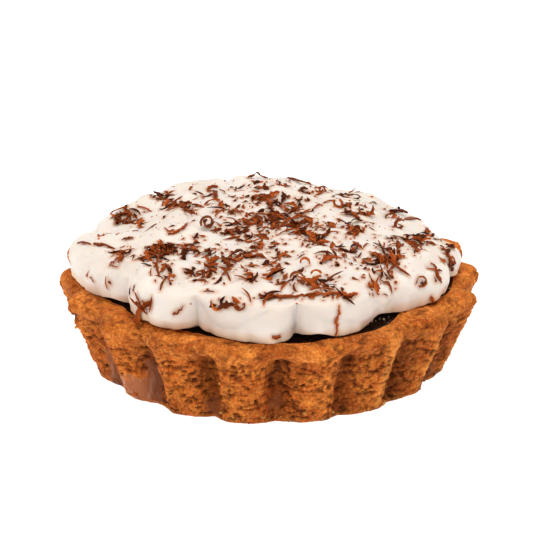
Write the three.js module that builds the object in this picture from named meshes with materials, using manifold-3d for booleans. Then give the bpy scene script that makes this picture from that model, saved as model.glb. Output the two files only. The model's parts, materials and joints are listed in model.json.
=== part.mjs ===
// A banoffee tart: a fluted shortcrust shell, a dark toffee filling, and spooned whipped cream
// that is strewn with curled chocolate shavings.
// Millimetres, +Z up. The origin is the middle of the shell's underside, and the front faces -Y.
// Azimuths are in degrees, measured from the front towards +X.

import * as THREE from "three";
import { mergeVertices } from "three/addons/utils/BufferGeometryUtils.js";
import Module from "manifold-3d";

const wasm = await Module();
wasm.setup();

const { clamp, degToRad, lerp, radToDeg, smoothstep } = THREE.MathUtils;

// Pastry shell
const rimRadius = 50; // out to the crests of the flutes
const baseRadius = 43; // the same, at the foot
const shellHeight = 21;
const rimInnerRadius = 43.4;
const rimInnerWaves = [ // the rim's inner edge wanders in front
  { height: 1.9, turns: 4, phase: 0.9 },
  { height: 0.57, turns: 9, phase: 2 },
];
const innerWaveAzimuth = { full: 53, none: 78 }; // degrees from the front, to both sides
const rimInnerBulges = [ // where the rim is thicker
  { azimuth: 48, halfAngle: 7, amount: -1.5 },
  { azimuth: -57, halfAngle: 13, amount: -2 },
];
const floorRadius = 36; // inside the shell, at its floor
const floorThickness = 5;
const lipRound = 2.2; // the rim's outer edge
const lipRises = [35, 65, 90]; // degrees round that edge
const innerLipRound = 1;
const footRound = 1.2;
const undersideRing = 0.6 * baseRadius; // keeps the underside plain within it
const fluteCount = 18;
const crestAzimuth = 12.4; // of one flute's crest
const fluteDrift = 3.2; // degrees by which the flutes draw closer at the sides
const grooveDepth = { foot: 1.7, wall: 5 };
const grooveFull = 8.4; // height from which a groove has its full depth
const grooveSharpness = { front: 3.8, side: 1.7 }; // above 2, the crests are broader than the grooves
const grooveSharpnessAzimuth = { front: 16, side: 31 };
const grooveSkew = 0.45; // at the sides, a groove's flank is steeper towards the front
const grooveSkewAzimuth = 24; // from which the skew is full, to both sides
const skewShift = 0.86; // keeps the bottom of a skewed groove in its place
const grooveArch = { low: 17, high: 19.4 }; // a groove ends in an arch between these heights
const grooveOnRim = { front: 0.22, side: 0.8 }; // the share of it that goes on into the rim
const grooveOnRimAzimuth = { front: 41, side: 75 };
const rimFlute = { outer: 0.55, inner: 0.1 }; // shares of the flutes across the rim's top
const rimNotch = 1.8; // how far the rim dips over a groove that reaches it
const rimWaves = [
  { height: 0.21, turns: 3, phase: 0.6 },
  { height: 0.14, turns: 7, phase: 2.1 },
];
const rimWaveFrom = 12.6; // height from which the wall follows the rim's waves
const rimBulges = [ // where the rim leans out
  { azimuth: -106, halfAngle: 9, amount: 1.6 },
  { azimuth: 72, halfAngle: 12, amount: 0.6 },
  { azimuth: 108, halfAngle: 8, amount: 0.8 },
];
const bulgeHeight = { none: 3, full: 16 };
const cragHeight = 0.32; // crumbs and pits of the baked wall
const rimCrag = 0.4; // share of them on the rim
const cragSeed = 20261127;
const columnsPerFlute = 8;
const wallSteps = 9;

// Toffee filling
const fillingLevel = 20;
const fitGap = 0.3; // between touching pieces
const fillingColumns = 72;

// Whipped cream, with the reach of each lobe at its left and at its right
const creamLobes = [
  { azimuth: -78, left: 49.6, right: 43.4, halfAngle: 27 },
  { azimuth: -37.3, left: 42.8, right: 46.4, halfAngle: 15.2 },
  { azimuth: -8.5, left: 42.5, right: 50, halfAngle: 16.5 },
  { azimuth: 21.5, left: 48.4, right: 41.4, halfAngle: 14.5 },
  { azimuth: 55.5, left: 39.4, right: 46.6, halfAngle: 18.4 },
  { azimuth: 91, left: 46.2, right: 45.8, halfAngle: 17 },
  { azimuth: 122, left: 43.4, right: 42.6, halfAngle: 14 },
  { azimuth: 149, left: 42.6, right: 43.4, halfAngle: 15 },
  { azimuth: 178, left: 44.6, right: 44.6, halfAngle: 16 },
  { azimuth: -151, left: 43.6, right: 43.8, halfAngle: 17 },
  { azimuth: -119, left: 45, right: 46.4, halfAngle: 17 },
];
const lobeSquareness = 2.6; // 2 is a round lobe, more is a flatter one
const creaseRadius = 37.5; // where two lobes part at the foot of the cream
const creaseFill = 1.45; // widens the lobes, so that the creases close towards the top
const lobeSection = [
  { height: 23, inset: 0.3, fill: 0 },
  { height: 25, inset: 0, fill: 0.1 },
  { height: 27, inset: 0.5, fill: 0.45 },
  { height: 28.6, inset: 1.5, fill: 0.75 },
  { height: 29.7, inset: 3, fill: 0.9 },
];
const footInset = 0.6;
const rimClearance = 0.65; // of the cream's foot over the mean height of the uneven rim
const footSlope = 0.1; // the underside rises a little outwards
const footLifts = [ // where the cream stands off the rim and the filling shows
  { azimuth: -57, halfAngle: 5, amount: 0.8 },
  { azimuth: -23.5, halfAngle: 3.5, amount: 0.7 },
  { azimuth: 13, halfAngle: 4.5, amount: 1.8 },
  { azimuth: 37, halfAngle: 4.5, amount: 1.6 },
  { azimuth: 60, halfAngle: 10, amount: 0.5 },
  { azimuth: 75, halfAngle: 5, amount: 1 },
];
const liftFade = 6; // height over which a lift is lost
const edgeSinks = [ // where the cream's edge is lower
  { azimuth: -106, halfAngle: 20, amount: 3.6 },
  { azimuth: 107, halfAngle: 24, amount: 4.4 },
  { azimuth: 155, halfAngle: 16, amount: 2.2 },
];
const sinkFrom = 22; // radius where such a slope starts
const sinkTo = 43;
const creamTop = { middle: 31.6, edge: 30 };
const mounds = { count: 7, ringRadius: 24, firstAzimuth: 27, halfWidth: 7, rise: 1 };
const spoonfuls = [ // steeper mounds left by the spoon
  { x: 12.6, y: -23.4, halfWidth: 6.6, rise: 1.7 },
  { x: 20, y: -31.5, halfWidth: 5.2, rise: 0.9 },
  { x: 4.5, y: 27, halfWidth: 7, rise: 1 },
  { x: -27, y: -22, halfWidth: 7, rise: 0.8 },
  { x: 30, y: -16, halfWidth: 7, rise: 0.9 },
  { x: -8, y: -35, halfWidth: 8, rise: 0.6 },
];
const topRings = [0.95, 0.83, 0.69, 0.54, 0.38, 0.2, 0];
const creamColumns = 120;

// Chocolate shavings
const shavingCount = 80;
const shavingSpread = 36; // radius of the strewn area
const shavingCrowding = 0.6; // above 0.5, they lie closer together in the middle
const curlRadius = { from: 1.2, to: 2.6 };
const curlArc = { from: 100, to: 190 };
const curlSteps = 3;
const ribbonWidth = { from: 0.7, to: 1.6 };
const ribbonThickness = 0.45;
const shavingSink = 0.4; // into the cream
const shavingTilt = { from: -30, to: 30 }; // of a curl's axis, from level
const shavingRoll = { from: -35, to: 35 }; // of a curl about its axis, from arched or cupped
const goldenTurn = 180 * (3 - Math.sqrt(5));
const shavingSeed = 20261129;

// Mesh welding
const seamWeld = 1e-4; // seams and poles of the plain shapes
const sliverWeld = 0.01; // slivers where shapes are joined

// Finishes
const bakedPastry = { color: 0xb4622c, roughness: 0.85 };
const darkToffee = { color: 0x2a170e, roughness: 0.35 };
const whippedCream = { color: 0xf6ebdf, roughness: 0.6 };

function seededRandom(start) {
  let state = start;
  return () => {
    state = (state + 0x6d2b79f5) | 0;
    let mixed = Math.imul(state ^ (state >>> 15), 1 | state);
    mixed = (mixed + Math.imul(mixed ^ (mixed >>> 7), 61 | mixed)) ^ mixed;
    return ((mixed ^ (mixed >>> 14)) >>> 0) / 2 ** 32;
  };
}

// The geometry with vertices closer than a distance merged, and the triangles that collapse dropped.
function welded(geometry, distance) {
  const bare = geometry.clone();
  bare.deleteAttribute("normal");
  bare.deleteAttribute("uv");
  const merged = mergeVertices(bare, distance);
  const index = merged.index.array;
  const kept = [];
  for (let i = 0; i < index.length; i += 3) {
    const [a, b, c] = index.slice(i, i + 3);
    if (a !== b && b !== c && c !== a) kept.push(a, b, c);
  }
  return merged.setIndex(kept);
}

function toSolid(geometry) {
  const closed = welded(geometry, seamWeld);
  const vertProperties = new Float32Array(closed.attributes.position.array);
  const triVerts = new Uint32Array(closed.index.array);
  return new wasm.Manifold(new wasm.Mesh({ numProp: 3, vertProperties, triVerts }));
}

function toGeometry(solid) {
  const { vertProperties, triVerts } = solid.getMesh();
  const geometry = new THREE.BufferGeometry();
  geometry.setAttribute("position", new THREE.BufferAttribute(vertProperties, 3));
  geometry.setIndex(new THREE.BufferAttribute(triVerts, 1));
  const finished = welded(geometry, sliverWeld);
  finished.computeVertexNormals();
  return finished;
}

// A profile of [radius, height] points, turned about Z. The turn starts at an azimuth.
function turned(profile, columns, startAzimuth = 0) {
  const points = profile.map(([radius, height]) => new THREE.Vector2(radius, height));
  const geometry = new THREE.LatheGeometry(points, columns, degToRad(startAzimuth));
  return geometry.rotateX(Math.PI / 2);
}

function atAzimuth(azimuth, radius, height) {
  const angle = degToRad(azimuth);
  return new THREE.Vector3(radius * Math.sin(angle), -radius * Math.cos(angle), height);
}

// 0 near the front and 1 further round, with angles from -PI to PI.
function awayFromFront(angle, near, far) {
  return smoothstep(Math.abs(radToDeg(angle)), near, far);
}

// 0 on a flute's crest and 1 at the bottom of a groove, where flutes are evenly spaced.
function fluteDip(evenAngle) {
  const away = awayFromFront(evenAngle, grooveSharpnessAzimuth.front, grooveSharpnessAzimuth.side);
  const sharpness = lerp(grooveSharpness.front, grooveSharpness.side, away);
  const sideways = Math.sin(evenAngle) / Math.sin(degToRad(grooveSkewAzimuth));
  const skew = grooveSkew * clamp(sideways, -1, 1);
  const even = ((evenAngle - degToRad(crestAzimuth)) * fluteCount) / 2 - skewShift * skew;
  const skewed = even + skew * Math.sin(even) ** 2;
  return Math.abs(Math.sin(skewed)) ** sharpness;
}

// The angle to which the flutes' drift brings an evenly spaced one.
function drifted(evenAngle) {
  return evenAngle - degToRad(fluteDrift) * Math.sin(evenAngle) ** 3;
}

// The share of a groove that goes on into the rim: little in front, most of it at the sides.
function onRim(angle) {
  const away = awayFromFront(angle, grooveOnRimAzimuth.front, grooveOnRimAzimuth.side);
  return lerp(grooveOnRim.front, grooveOnRim.side, away);
}

function grooveDepthAt(height, angle) {
  const onWall = lerp(grooveDepth.foot, grooveDepth.wall, smoothstep(height, 0, grooveFull));
  return onWall * lerp(1, onRim(angle), smoothstep(height, grooveArch.low, grooveArch.high));
}

function waveSum(waves, angle) {
  let sum = 0;
  for (const { height, turns, phase } of waves) {
    sum += height * Math.sin(turns * angle + phase);
  }
  return sum;
}

function turnFrom(azimuth, middle) {
  return THREE.MathUtils.euclideanModulo(azimuth - middle + 180, 360) - 180;
}

// What soft bumps round the tart add up to at an azimuth.
function bumpsAt(bumps, azimuth) {
  let sum = 0;
  for (const { azimuth: middle, halfAngle, amount } of bumps) {
    sum += amount * Math.exp(-((turnFrom(azimuth, middle) / halfAngle) ** 2));
  }
  return sum;
}

function innerWave(angle) {
  const away = awayFromFront(angle, innerWaveAzimuth.full, innerWaveAzimuth.none);
  return (1 - away) * waveSum(rimInnerWaves, angle) + bumpsAt(rimInnerBulges, radToDeg(angle));
}

// The shell's section from the middle of its underside, up the fluted wall, over the rim and down
// to the middle of its floor. Each row has its shares of the flutes, the crags, the rim's bulges,
// its rise and fall, and the wave of the inner edge.
function shellRows() {
  const plain = { flute: 0, crag: 0, bulge: 0, rise: 0, inner: 0 };
  const rows = [
    { ...plain, radius: 0, height: 0 },
    { ...plain, radius: undersideRing, height: 0 },
    { ...plain, radius: baseRadius - footRound, height: 0, flute: 1 },
  ];
  const wallTop = shellHeight - lipRound;
  const onWallAt = (height) => ({
    bulge: smoothstep(height, bulgeHeight.none, bulgeHeight.full),
    rise: smoothstep(height, rimWaveFrom, shellHeight),
  });
  for (let i = 0; i <= wallSteps; i++) {
    const share = i / wallSteps;
    const radius = lerp(baseRadius, rimRadius, share);
    const height = lerp(footRound, wallTop, share);
    rows.push({ ...plain, ...onWallAt(height), radius, height, flute: 1, crag: 1 });
  }
  for (const turn of lipRises) {
    const radius = rimRadius - lipRound * (1 - Math.cos(degToRad(turn)));
    const height = wallTop + lipRound * Math.sin(degToRad(turn));
    const flute = lerp(1, rimFlute.outer, turn / 90);
    rows.push({ ...plain, ...onWallAt(height), radius, height, flute, crag: rimCrag });
  }
  const rimTop = { ...plain, ...onWallAt(shellHeight), height: shellHeight };
  rows.push(
    { ...rimTop, radius: rimInnerRadius + innerLipRound, flute: rimFlute.inner, inner: 1 },
    { ...plain, radius: rimInnerRadius, height: shellHeight - innerLipRound, inner: 1 },
    { ...plain, radius: floorRadius, height: floorThickness },
    { ...plain, radius: 0, height: floorThickness },
  );
  return rows;
}

function makeCrust() {
  const rows = shellRows();
  const columns = fluteCount * columnsPerFlute;
  const profile = rows.map(({ radius, height }) => [radius, height]);
  const geometry = turned(profile, columns, crestAzimuth);
  const random = seededRandom(cragSeed);
  const crags = Array.from({ length: columns * rows.length }, () => 2 * random() - 1);
  const position = geometry.attributes.position;
  for (let i = 0; i < position.count; i++) {
    const row = rows[i % rows.length];
    if (row.radius === 0) continue;
    const evenAngle = Math.atan2(position.getX(i), -position.getY(i));
    const angle = drifted(evenAngle);
    const dip = row.flute * fluteDip(evenAngle);
    const groove = dip * grooveDepthAt(row.height, angle);
    const crag = row.crag * cragHeight * crags[i % crags.length];
    const bulge = row.bulge * bumpsAt(rimBulges, radToDeg(angle));
    const radius = row.radius - groove + crag + bulge + row.inner * innerWave(angle);
    const rise = row.rise * (waveSum(rimWaves, angle) - rimNotch * dip * onRim(angle));
    const spot = atAzimuth(radToDeg(angle), radius, row.height + rise);
    position.setXYZ(i, spot.x, spot.y, spot.z);
  }
  return toGeometry(toSolid(geometry));
}

// The filling keeps its gap to the shell's wall, which follows the rim's inner edge.
function makeFilling() {
  const bottom = floorThickness + fitGap;
  const profile = [
    [0, bottom],
    [floorRadius - 2 * fitGap, bottom],
    [rimInnerRadius - 2 * fitGap, fillingLevel],
    [0, fillingLevel],
  ];
  const geometry = turned(profile, fillingColumns);
  const position = geometry.attributes.position;
  const edgeRow = 2;
  for (let i = edgeRow; i < position.count; i += profile.length) {
    const angle = Math.atan2(position.getX(i), -position.getY(i));
    const spot = atAzimuth(radToDeg(angle), profile[edgeRow][0] + innerWave(angle), fillingLevel);
    position.setXYZ(i, spot.x, spot.y, spot.z);
  }
  return toGeometry(toSolid(geometry));
}

// How far the cream reaches at an azimuth. A wider spread of the lobes fills the creases.
function lobeReach(azimuth, spread) {
  let reach = creaseRadius;
  for (const { azimuth: middle, left, right, halfAngle } of creamLobes) {
    const turn = turnFrom(azimuth, middle);
    const away = Math.abs(turn) / (halfAngle * spread);
    if (away >= 1) continue;
    const most = lerp(left, right, clamp(0.5 + turn / halfAngle / 2, 0, 1));
    const out = (1 - away ** lobeSquareness) ** (1 / lobeSquareness);
    reach = Math.max(reach, lerp(creaseRadius, most, out));
  }
  return reach;
}

// The height of the cream's upper surface: a low dome with mounds, lower where its edge sinks.
function creamHeight(x, y) {
  const radius = Math.hypot(x, y);
  const azimuth = radToDeg(Math.atan2(x, -y));
  let height = lerp(creamTop.middle, creamTop.edge, (radius / rimRadius) ** 2);
  height -= bumpsAt(edgeSinks, azimuth) * smoothstep(radius, sinkFrom, sinkTo);
  for (let i = 0; i < mounds.count; i++) {
    const middle = atAzimuth(mounds.firstAzimuth + (360 * i) / mounds.count, mounds.ringRadius, 0);
    const away = Math.hypot(x - middle.x, y - middle.y) / mounds.halfWidth;
    height += mounds.rise * Math.exp(-(away ** 2));
  }
  for (const spoonful of spoonfuls) {
    const away = Math.hypot(x - spoonful.x, y - spoonful.y) / spoonful.halfWidth;
    height += spoonful.rise * Math.exp(-(away ** 4));
  }
  return height;
}

// The cream's section at an azimuth, from the middle of its underside to the middle of its top.
// Inside the rim it goes down to the filling.
function creamSection(azimuth) {
  const reach = lobeReach(azimuth, 1);
  const filled = lobeReach(azimuth, creaseFill);
  const lift = bumpsAt(footLifts, azimuth);
  const sink = bumpsAt(edgeSinks, azimuth);
  const underside = fillingLevel + fitGap;
  const foot = shellHeight + rimClearance + lift;
  const innerEdge = rimInnerRadius + innerWave(degToRad(turnFrom(azimuth, 0)));
  const plugRadius = Math.min(innerEdge - innerLipRound, reach - 2 * footInset);
  const section = [
    [0, underside],
    [plugRadius, underside],
    [plugRadius + fitGap, foot],
    [reach - footInset, foot + footSlope],
  ];
  for (const { height, inset, fill } of lobeSection) {
    const overRim = height - shellHeight;
    const raised = lift * Math.max(0, 1 - overRim / liftFade);
    const sunk = (sink * overRim) / (creamTop.edge - shellHeight);
    section.push([lerp(reach, filled, fill) - inset, height + raised - sunk]);
  }
  const [shoulder] = section.at(-1);
  for (const share of topRings) {
    const spot = atAzimuth(azimuth, share * shoulder, 0);
    section.push([share * shoulder, creamHeight(spot.x, spot.y)]);
  }
  return section;
}

function creamBody() {
  const plain = creamSection(0);
  const geometry = turned(plain, creamColumns);
  const position = geometry.attributes.position;
  for (let column = 0; column <= creamColumns; column++) {
    const azimuth = (360 * (column % creamColumns)) / creamColumns;
    creamSection(azimuth).forEach(([radius, height], row) => {
      const spot = atAzimuth(azimuth, radius, height);
      position.setXYZ(column * plain.length + row, spot.x, spot.y, spot.z);
    });
  }
  return toSolid(geometry);
}

// A curled ribbon: a stretch of a ring, as wide as the ribbon.
function curlGeometry(radius, arc, width) {
  const outside = [];
  const inside = [];
  for (let i = 0; i <= curlSteps; i++) {
    const ray = new THREE.Vector2(1, 0).rotateAround(new THREE.Vector2(), degToRad((arc * i) / curlSteps));
    outside.push(ray.clone().multiplyScalar(radius));
    inside.unshift(ray.multiplyScalar(radius - ribbonThickness));
  }
  const shape = new THREE.Shape([...outside, ...inside]);
  const geometry = new THREE.ExtrudeGeometry(shape, { depth: width, bevelEnabled: false });
  return geometry.translate(0, 0, -width / 2);
}

// Shavings lie on the cream, arched or cupped in turn, and sunk in a little where they touch.
function makeShavings() {
  const random = seededRandom(shavingSeed);
  const pick = ({ from, to }) => lerp(from, to, random());
  const shavings = [];
  for (let i = 0; i < shavingCount; i++) {
    const share = (i + 0.5) / shavingCount;
    const spot = atAzimuth(i * goldenTurn, shavingSpread * share ** shavingCrowding, 0);
    const arc = pick(curlArc);
    const geometry = curlGeometry(pick(curlRadius), arc, pick(ribbonWidth));
    const middleOfArc = i % 2 === 0 ? 90 : -90;
    geometry.rotateZ(degToRad(middleOfArc - arc / 2 + pick(shavingRoll)));
    geometry.rotateX(degToRad(90 + pick(shavingTilt)));
    geometry.rotateZ(degToRad(360 * random()));
    geometry.translate(spot.x, spot.y, 0);
    const position = geometry.attributes.position;
    let lowest = Infinity;
    for (let k = 0; k < position.count; k++) {
      const under = creamHeight(position.getX(k), position.getY(k));
      lowest = Math.min(lowest, position.getZ(k) - under);
    }
    shavings.push(toSolid(geometry.translate(0, 0, -lowest - shavingSink)));
  }
  return shavings;
}

function makeCream() {
  const cream = wasm.Manifold.union([creamBody(), ...makeShavings()]);
  const bodies = cream.decompose().sort((a, b) => b.volume() - a.volume());
  return toGeometry(bodies[0]);
}

function addPiece(group, name, geometry, finish) {
  const material = new THREE.MeshStandardMaterial({ ...finish, metalness: 0 });
  const mesh = new THREE.Mesh(geometry, material);
  mesh.name = name;
  group.add(mesh);
}

const tart = new THREE.Group();
addPiece(tart, "crust", makeCrust(), bakedPastry);
addPiece(tart, "filling", makeFilling(), darkToffee);
addPiece(tart, "cream", makeCream(), whippedCream);

export default tart;
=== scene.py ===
import json
import math

import bmesh
import bpy
import numpy as np
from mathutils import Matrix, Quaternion, Vector
from mathutils.bvhtree import BVHTree
from mathutils.kdtree import KDTree

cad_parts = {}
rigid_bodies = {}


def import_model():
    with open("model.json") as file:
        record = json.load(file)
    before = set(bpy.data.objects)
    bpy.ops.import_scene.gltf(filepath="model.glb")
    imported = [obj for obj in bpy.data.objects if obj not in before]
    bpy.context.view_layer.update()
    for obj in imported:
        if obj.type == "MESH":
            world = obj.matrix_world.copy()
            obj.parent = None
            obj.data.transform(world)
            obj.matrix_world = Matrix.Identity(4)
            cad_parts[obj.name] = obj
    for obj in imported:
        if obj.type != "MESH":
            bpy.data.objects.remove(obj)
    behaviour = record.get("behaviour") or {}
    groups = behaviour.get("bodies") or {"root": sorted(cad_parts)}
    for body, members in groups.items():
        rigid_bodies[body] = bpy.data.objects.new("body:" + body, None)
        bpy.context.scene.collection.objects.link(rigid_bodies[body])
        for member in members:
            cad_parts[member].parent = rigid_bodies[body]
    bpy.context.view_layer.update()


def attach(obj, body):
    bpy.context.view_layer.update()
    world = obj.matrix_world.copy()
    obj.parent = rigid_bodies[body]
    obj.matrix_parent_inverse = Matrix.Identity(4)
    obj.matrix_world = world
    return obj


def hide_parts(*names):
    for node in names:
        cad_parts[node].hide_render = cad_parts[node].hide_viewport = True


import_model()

mm = 0.001
weld = 1e-6  # points that are closer than this become one
scene = bpy.context.scene


# Helpers

def linear(code):  # sRGB hex to linear
    channels = [int(code[i:i + 2], 16) / 255 for i in (1, 3, 5)]
    return [c / 12.92 if c <= 0.04045 else ((c + 0.055) / 1.055) ** 2.4 for c in channels] + [1.0]


def setInput(tree, socket, value):  # a plain value, or another node's output
    if isinstance(value, bpy.types.NodeSocket):
        tree.links.new(value, socket)
    else:
        socket.default_value = value


def setInputs(tree, node, values):  # by name
    for name, value in values.items():
        setInput(tree, node.inputs[name], value)


def add(tree, kind, *values, out=None, **settings):  # a node with its settings and links; gives one output
    node = tree.nodes.new(kind if "Node" in kind else "ShaderNode" + kind)
    for name, value in settings.items():
        setattr(node, name, value)
    sockets = [socket for socket in node.inputs if socket.enabled]
    for socket, value in zip(sockets, values):  # in the order of the sockets, or by name in a dictionary
        if isinstance(value, dict):
            setInputs(tree, node, value)
        else:
            setInput(tree, socket, value)
    return node.outputs[out] if out else next((socket for socket in node.outputs if socket.enabled), None)


socketKinds = {
    int: "Int", float: "Float", bpy.types.Collection: "Collection", bpy.types.Material: "Material",
}


def newTree(name, values):  # a geometry tree with a named input for each value
    tree = bpy.data.node_groups.new(name, "GeometryNodeTree")
    tree.interface.new_socket("Geometry", in_out="INPUT", socket_type="NodeSocketGeometry")
    for label, value in values.items():
        tree.interface.new_socket(label, in_out="INPUT", socket_type="NodeSocket" + socketKinds[type(value)])
    tree.interface.new_socket("Geometry", in_out="OUTPUT", socket_type="NodeSocketGeometry")
    return tree, add(tree, "NodeGroupInput").node.outputs


def applyTree(obj, tree, geometry, values):  # run the tree on the object and keep a plain mesh
    add(tree, "NodeGroupOutput", geometry)
    modifier = obj.modifiers.new(tree.name, "NODES")
    modifier.node_group = tree
    for item in tree.interface.items_tree:
        if item.in_out == "INPUT" and item.name in values:
            modifier[item.identifier] = values[item.name]
    bpy.context.view_layer.update()
    made = bpy.data.meshes.new_from_object(obj.evaluated_get(bpy.context.evaluated_depsgraph_get()))
    obj.modifiers.remove(modifier)
    old = obj.data
    obj.data = made
    bpy.data.meshes.remove(old)
    return obj


def newMaterial(name):
    material = bpy.data.materials.new(name)
    material.use_nodes = True
    return material


def finishMaterial(material, values):
    tree = material.node_tree
    setInputs(tree, tree.nodes["Principled BSDF"], values)
    return material


def newObject(name, points, faces=(), edges=()):
    mesh = bpy.data.meshes.new(name)
    mesh.from_pydata([tuple(p) for p in points], [tuple(e) for e in edges], [tuple(f) for f in faces])
    obj = bpy.data.objects.new(name, mesh)
    scene.collection.objects.link(obj)
    return obj


def ringSolid(name, rings, top, bottom):  # rings of as many points, joined and closed at both ends
    columns = len(rings[0])
    points = [*np.concatenate(rings), top, bottom]
    last = (len(rings) - 1) * columns
    faces = []
    for low in range(0, last, columns):
        for i in range(columns):
            k = (i + 1) % columns
            faces.append((low + i, low + k, low + columns + k, low + columns + i))
    for i in range(columns):
        k = (i + 1) % columns
        faces += [(last + i, last + k, len(points) - 2), (k, i, len(points) - 1)]
    return newObject(name, np.array(points) * mm, faces)


tubeCorners = ((-1, -1), (1, -1), (1, 1), (-1, 1))


def tubeFaces(start, steps):  # of a four-sided tube with closed ends
    faces = [tuple(start + k for k in (3, 2, 1, 0)), tuple(start + steps * 4 + k for k in range(4))]
    for row in range(start, start + steps * 4, 4):
        for k in range(4):
            n = (k + 1) % 4
            faces.append((row + k, row + n, row + 4 + n, row + 4 + k))
    return faces


def giveAttribute(mesh, name, values):  # floats, or rows of three
    values = np.asarray(values, np.float32)
    kind, field = ("FLOAT", "value") if values.ndim == 1 else ("FLOAT_VECTOR", "vector")
    mesh.attributes.new(name, kind, "POINT").data.foreach_set(field, values.ravel())


def meshPoints(mesh):
    points = np.zeros(len(mesh.vertices) * 3, np.float32)
    mesh.vertices.foreach_get("co", points)
    return points.reshape(-1, 3).astype(float)


def movePoints(mesh, points):
    mesh.vertices.foreach_set("co", points.astype(np.float32).ravel())


def keepAboveTable(obj):  # nothing below the surface it stands on
    points = meshPoints(obj.data)
    points[:, 2] = np.maximum(points[:, 2], 0)
    movePoints(obj.data, points)


def finishMesh(obj):  # doubles merged, faces outwards, smooth
    work = bmesh.new()
    work.from_mesh(obj.data)
    bmesh.ops.remove_doubles(work, verts=work.verts, dist=weld)
    bmesh.ops.recalc_face_normals(work, faces=work.faces)
    for face in work.faces:
        face.smooth = True
    work.to_mesh(obj.data)
    work.free()
    return obj


def triangleCount(obj):
    return sum(len(p.vertices) - 2 for p in obj.data.polygons)


def newRack(name):  # holds the few forms that are strewn
    rack = bpy.data.collections.new(name)
    scene.collection.children.link(rack)
    return rack


def dropRack(rack):
    for piece in list(rack.objects):
        bpy.data.objects.remove(piece)
    bpy.data.collections.remove(rack)


def onAzimuth(azimuth, radius, height):  # azimuth from the front, growing to the right, in degrees
    angle = np.radians(azimuth)
    spot = (radius * np.sin(angle), -radius * np.cos(angle), height + 0 * angle)
    return np.stack(np.broadcast_arrays(*spot), -1)


def turnFrom(middle, azimuth):  # degrees to either side
    return (azimuth - middle + 180) % 360 - 180


def bumps(azimuth, rows):  # soft bumps round the tart: azimuth, half angle and size of each
    return sum(size * np.exp(-(turnFrom(middle, azimuth) / half) ** 2) for middle, half, size in rows)


def mix(a, b, share):
    return a + (b - a) * share


def ramp(value, low, high):  # smooth step
    share = np.clip((value - low) / (high - low), 0, 1)
    return share * share * (3 - 2 * share)


# Camera, floor and light

camera = {
    "aim": Vector((0, 0, 11 * mm)),  # on the tart's axis, half way up the wall
    "distance": 520 * mm,
    "elevation": 22.3,
    "lens": 146.7,
    "sensor": 36.0,
    "clip": (0.01, 20),
    "frame": 533,
    "aimPixel": (269.2, 306.8),  # where that point is in the frame
}
tilt = math.radians(camera["elevation"])
cameraBack = Vector((0, -math.cos(tilt), math.sin(tilt)))
cameraUp = Vector((0, math.sin(tilt), math.cos(tilt)))
cameraEye = camera["aim"] + cameraBack * camera["distance"]


def pixelRay(px, py):  # direction from the camera through a pixel of the frame
    focal = camera["lens"] / camera["sensor"] * camera["frame"]
    across, down = px - camera["aimPixel"][0], py - camera["aimPixel"][1]
    return (-cameraBack * focal + Vector((across, 0, 0)) - cameraUp * down).normalized()


def seenAt(surface, px, py):  # point and normal of what is at a pixel of the frame
    return surface.ray_cast(cameraEye, pixelRay(px, py))[:2]


def setUp(name, data, place, way):  # a camera or lamp that stands there and looks that way
    obj = bpy.data.objects.new(name, data)
    scene.collection.objects.link(obj)
    obj.location = place
    obj.rotation_mode = "QUATERNION"
    obj.rotation_quaternion = way.to_track_quat("-Z", "Y")
    return obj


def addCamera():
    data = bpy.data.cameras.new("camera")
    data.lens, data.sensor_width = camera["lens"], camera["sensor"]
    data.clip_start, data.clip_end = camera["clip"]
    middle = camera["frame"] / 2
    scene.camera = setUp("camera", data, cameraEye, pixelRay(middle, middle))


stage = {
    "floorHalf": 6.0,
    "floorColour": "#B0B0B0",
    "floorGlow": 0.92,  # a lit white table, on which the shadow stays faint
    "skyColour": "#FFF1E2",
    "skyStrength": 0.42,
    "lights": {  # place, size, watts, colour
        "keySoftbox": ((-0.13, -0.62, 0.58), 0.2, 1.8, "#FFFAF4"),
        "topSoftbox": ((0.1, 0.1, 0.75), 0.4, 3.6, "#FFFDFA"),
        "leftStrip": ((-0.7, 0.1, 0.2), 0.2, 1.2, "#FFFFFF"),
        "rightStrip": ((0.5, -0.5, 0.5), 0.3, 0.95, "#FFFFFF"),
    },
}


def addStage():
    half = stage["floorHalf"]
    corners = [(-half, -half, 0), (half, -half, 0), (half, half, 0), (-half, half, 0)]
    floor = newObject("floor", corners, [(0, 1, 2, 3)])
    floor.data.materials.append(finishMaterial(newMaterial("white paper sweep"), {  # plain and bright
        "Base Color": linear(stage["floorColour"]), "Roughness": 0.9,
        "Emission Color": (1, 1, 1, 1), "Emission Strength": stage["floorGlow"]}))
    world = bpy.data.worlds.new("soft white room")
    world.use_nodes = True
    sky = world.node_tree.nodes["Background"]
    sky.inputs["Color"].default_value = linear(stage["skyColour"])
    sky.inputs["Strength"].default_value = stage["skyStrength"]
    scene.world = world
    for name, (place, size, watts, colour) in stage["lights"].items():
        data = bpy.data.lights.new(name, "AREA")
        data.size, data.energy, data.color = size, watts, linear(colour)[:3]
        setUp(name, data, place, camera["aim"] - Vector(place))
    scene.view_settings.view_transform = "Standard"


addCamera()
addStage()
print("camera, floor and light ready")


# Pastry shell

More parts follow.
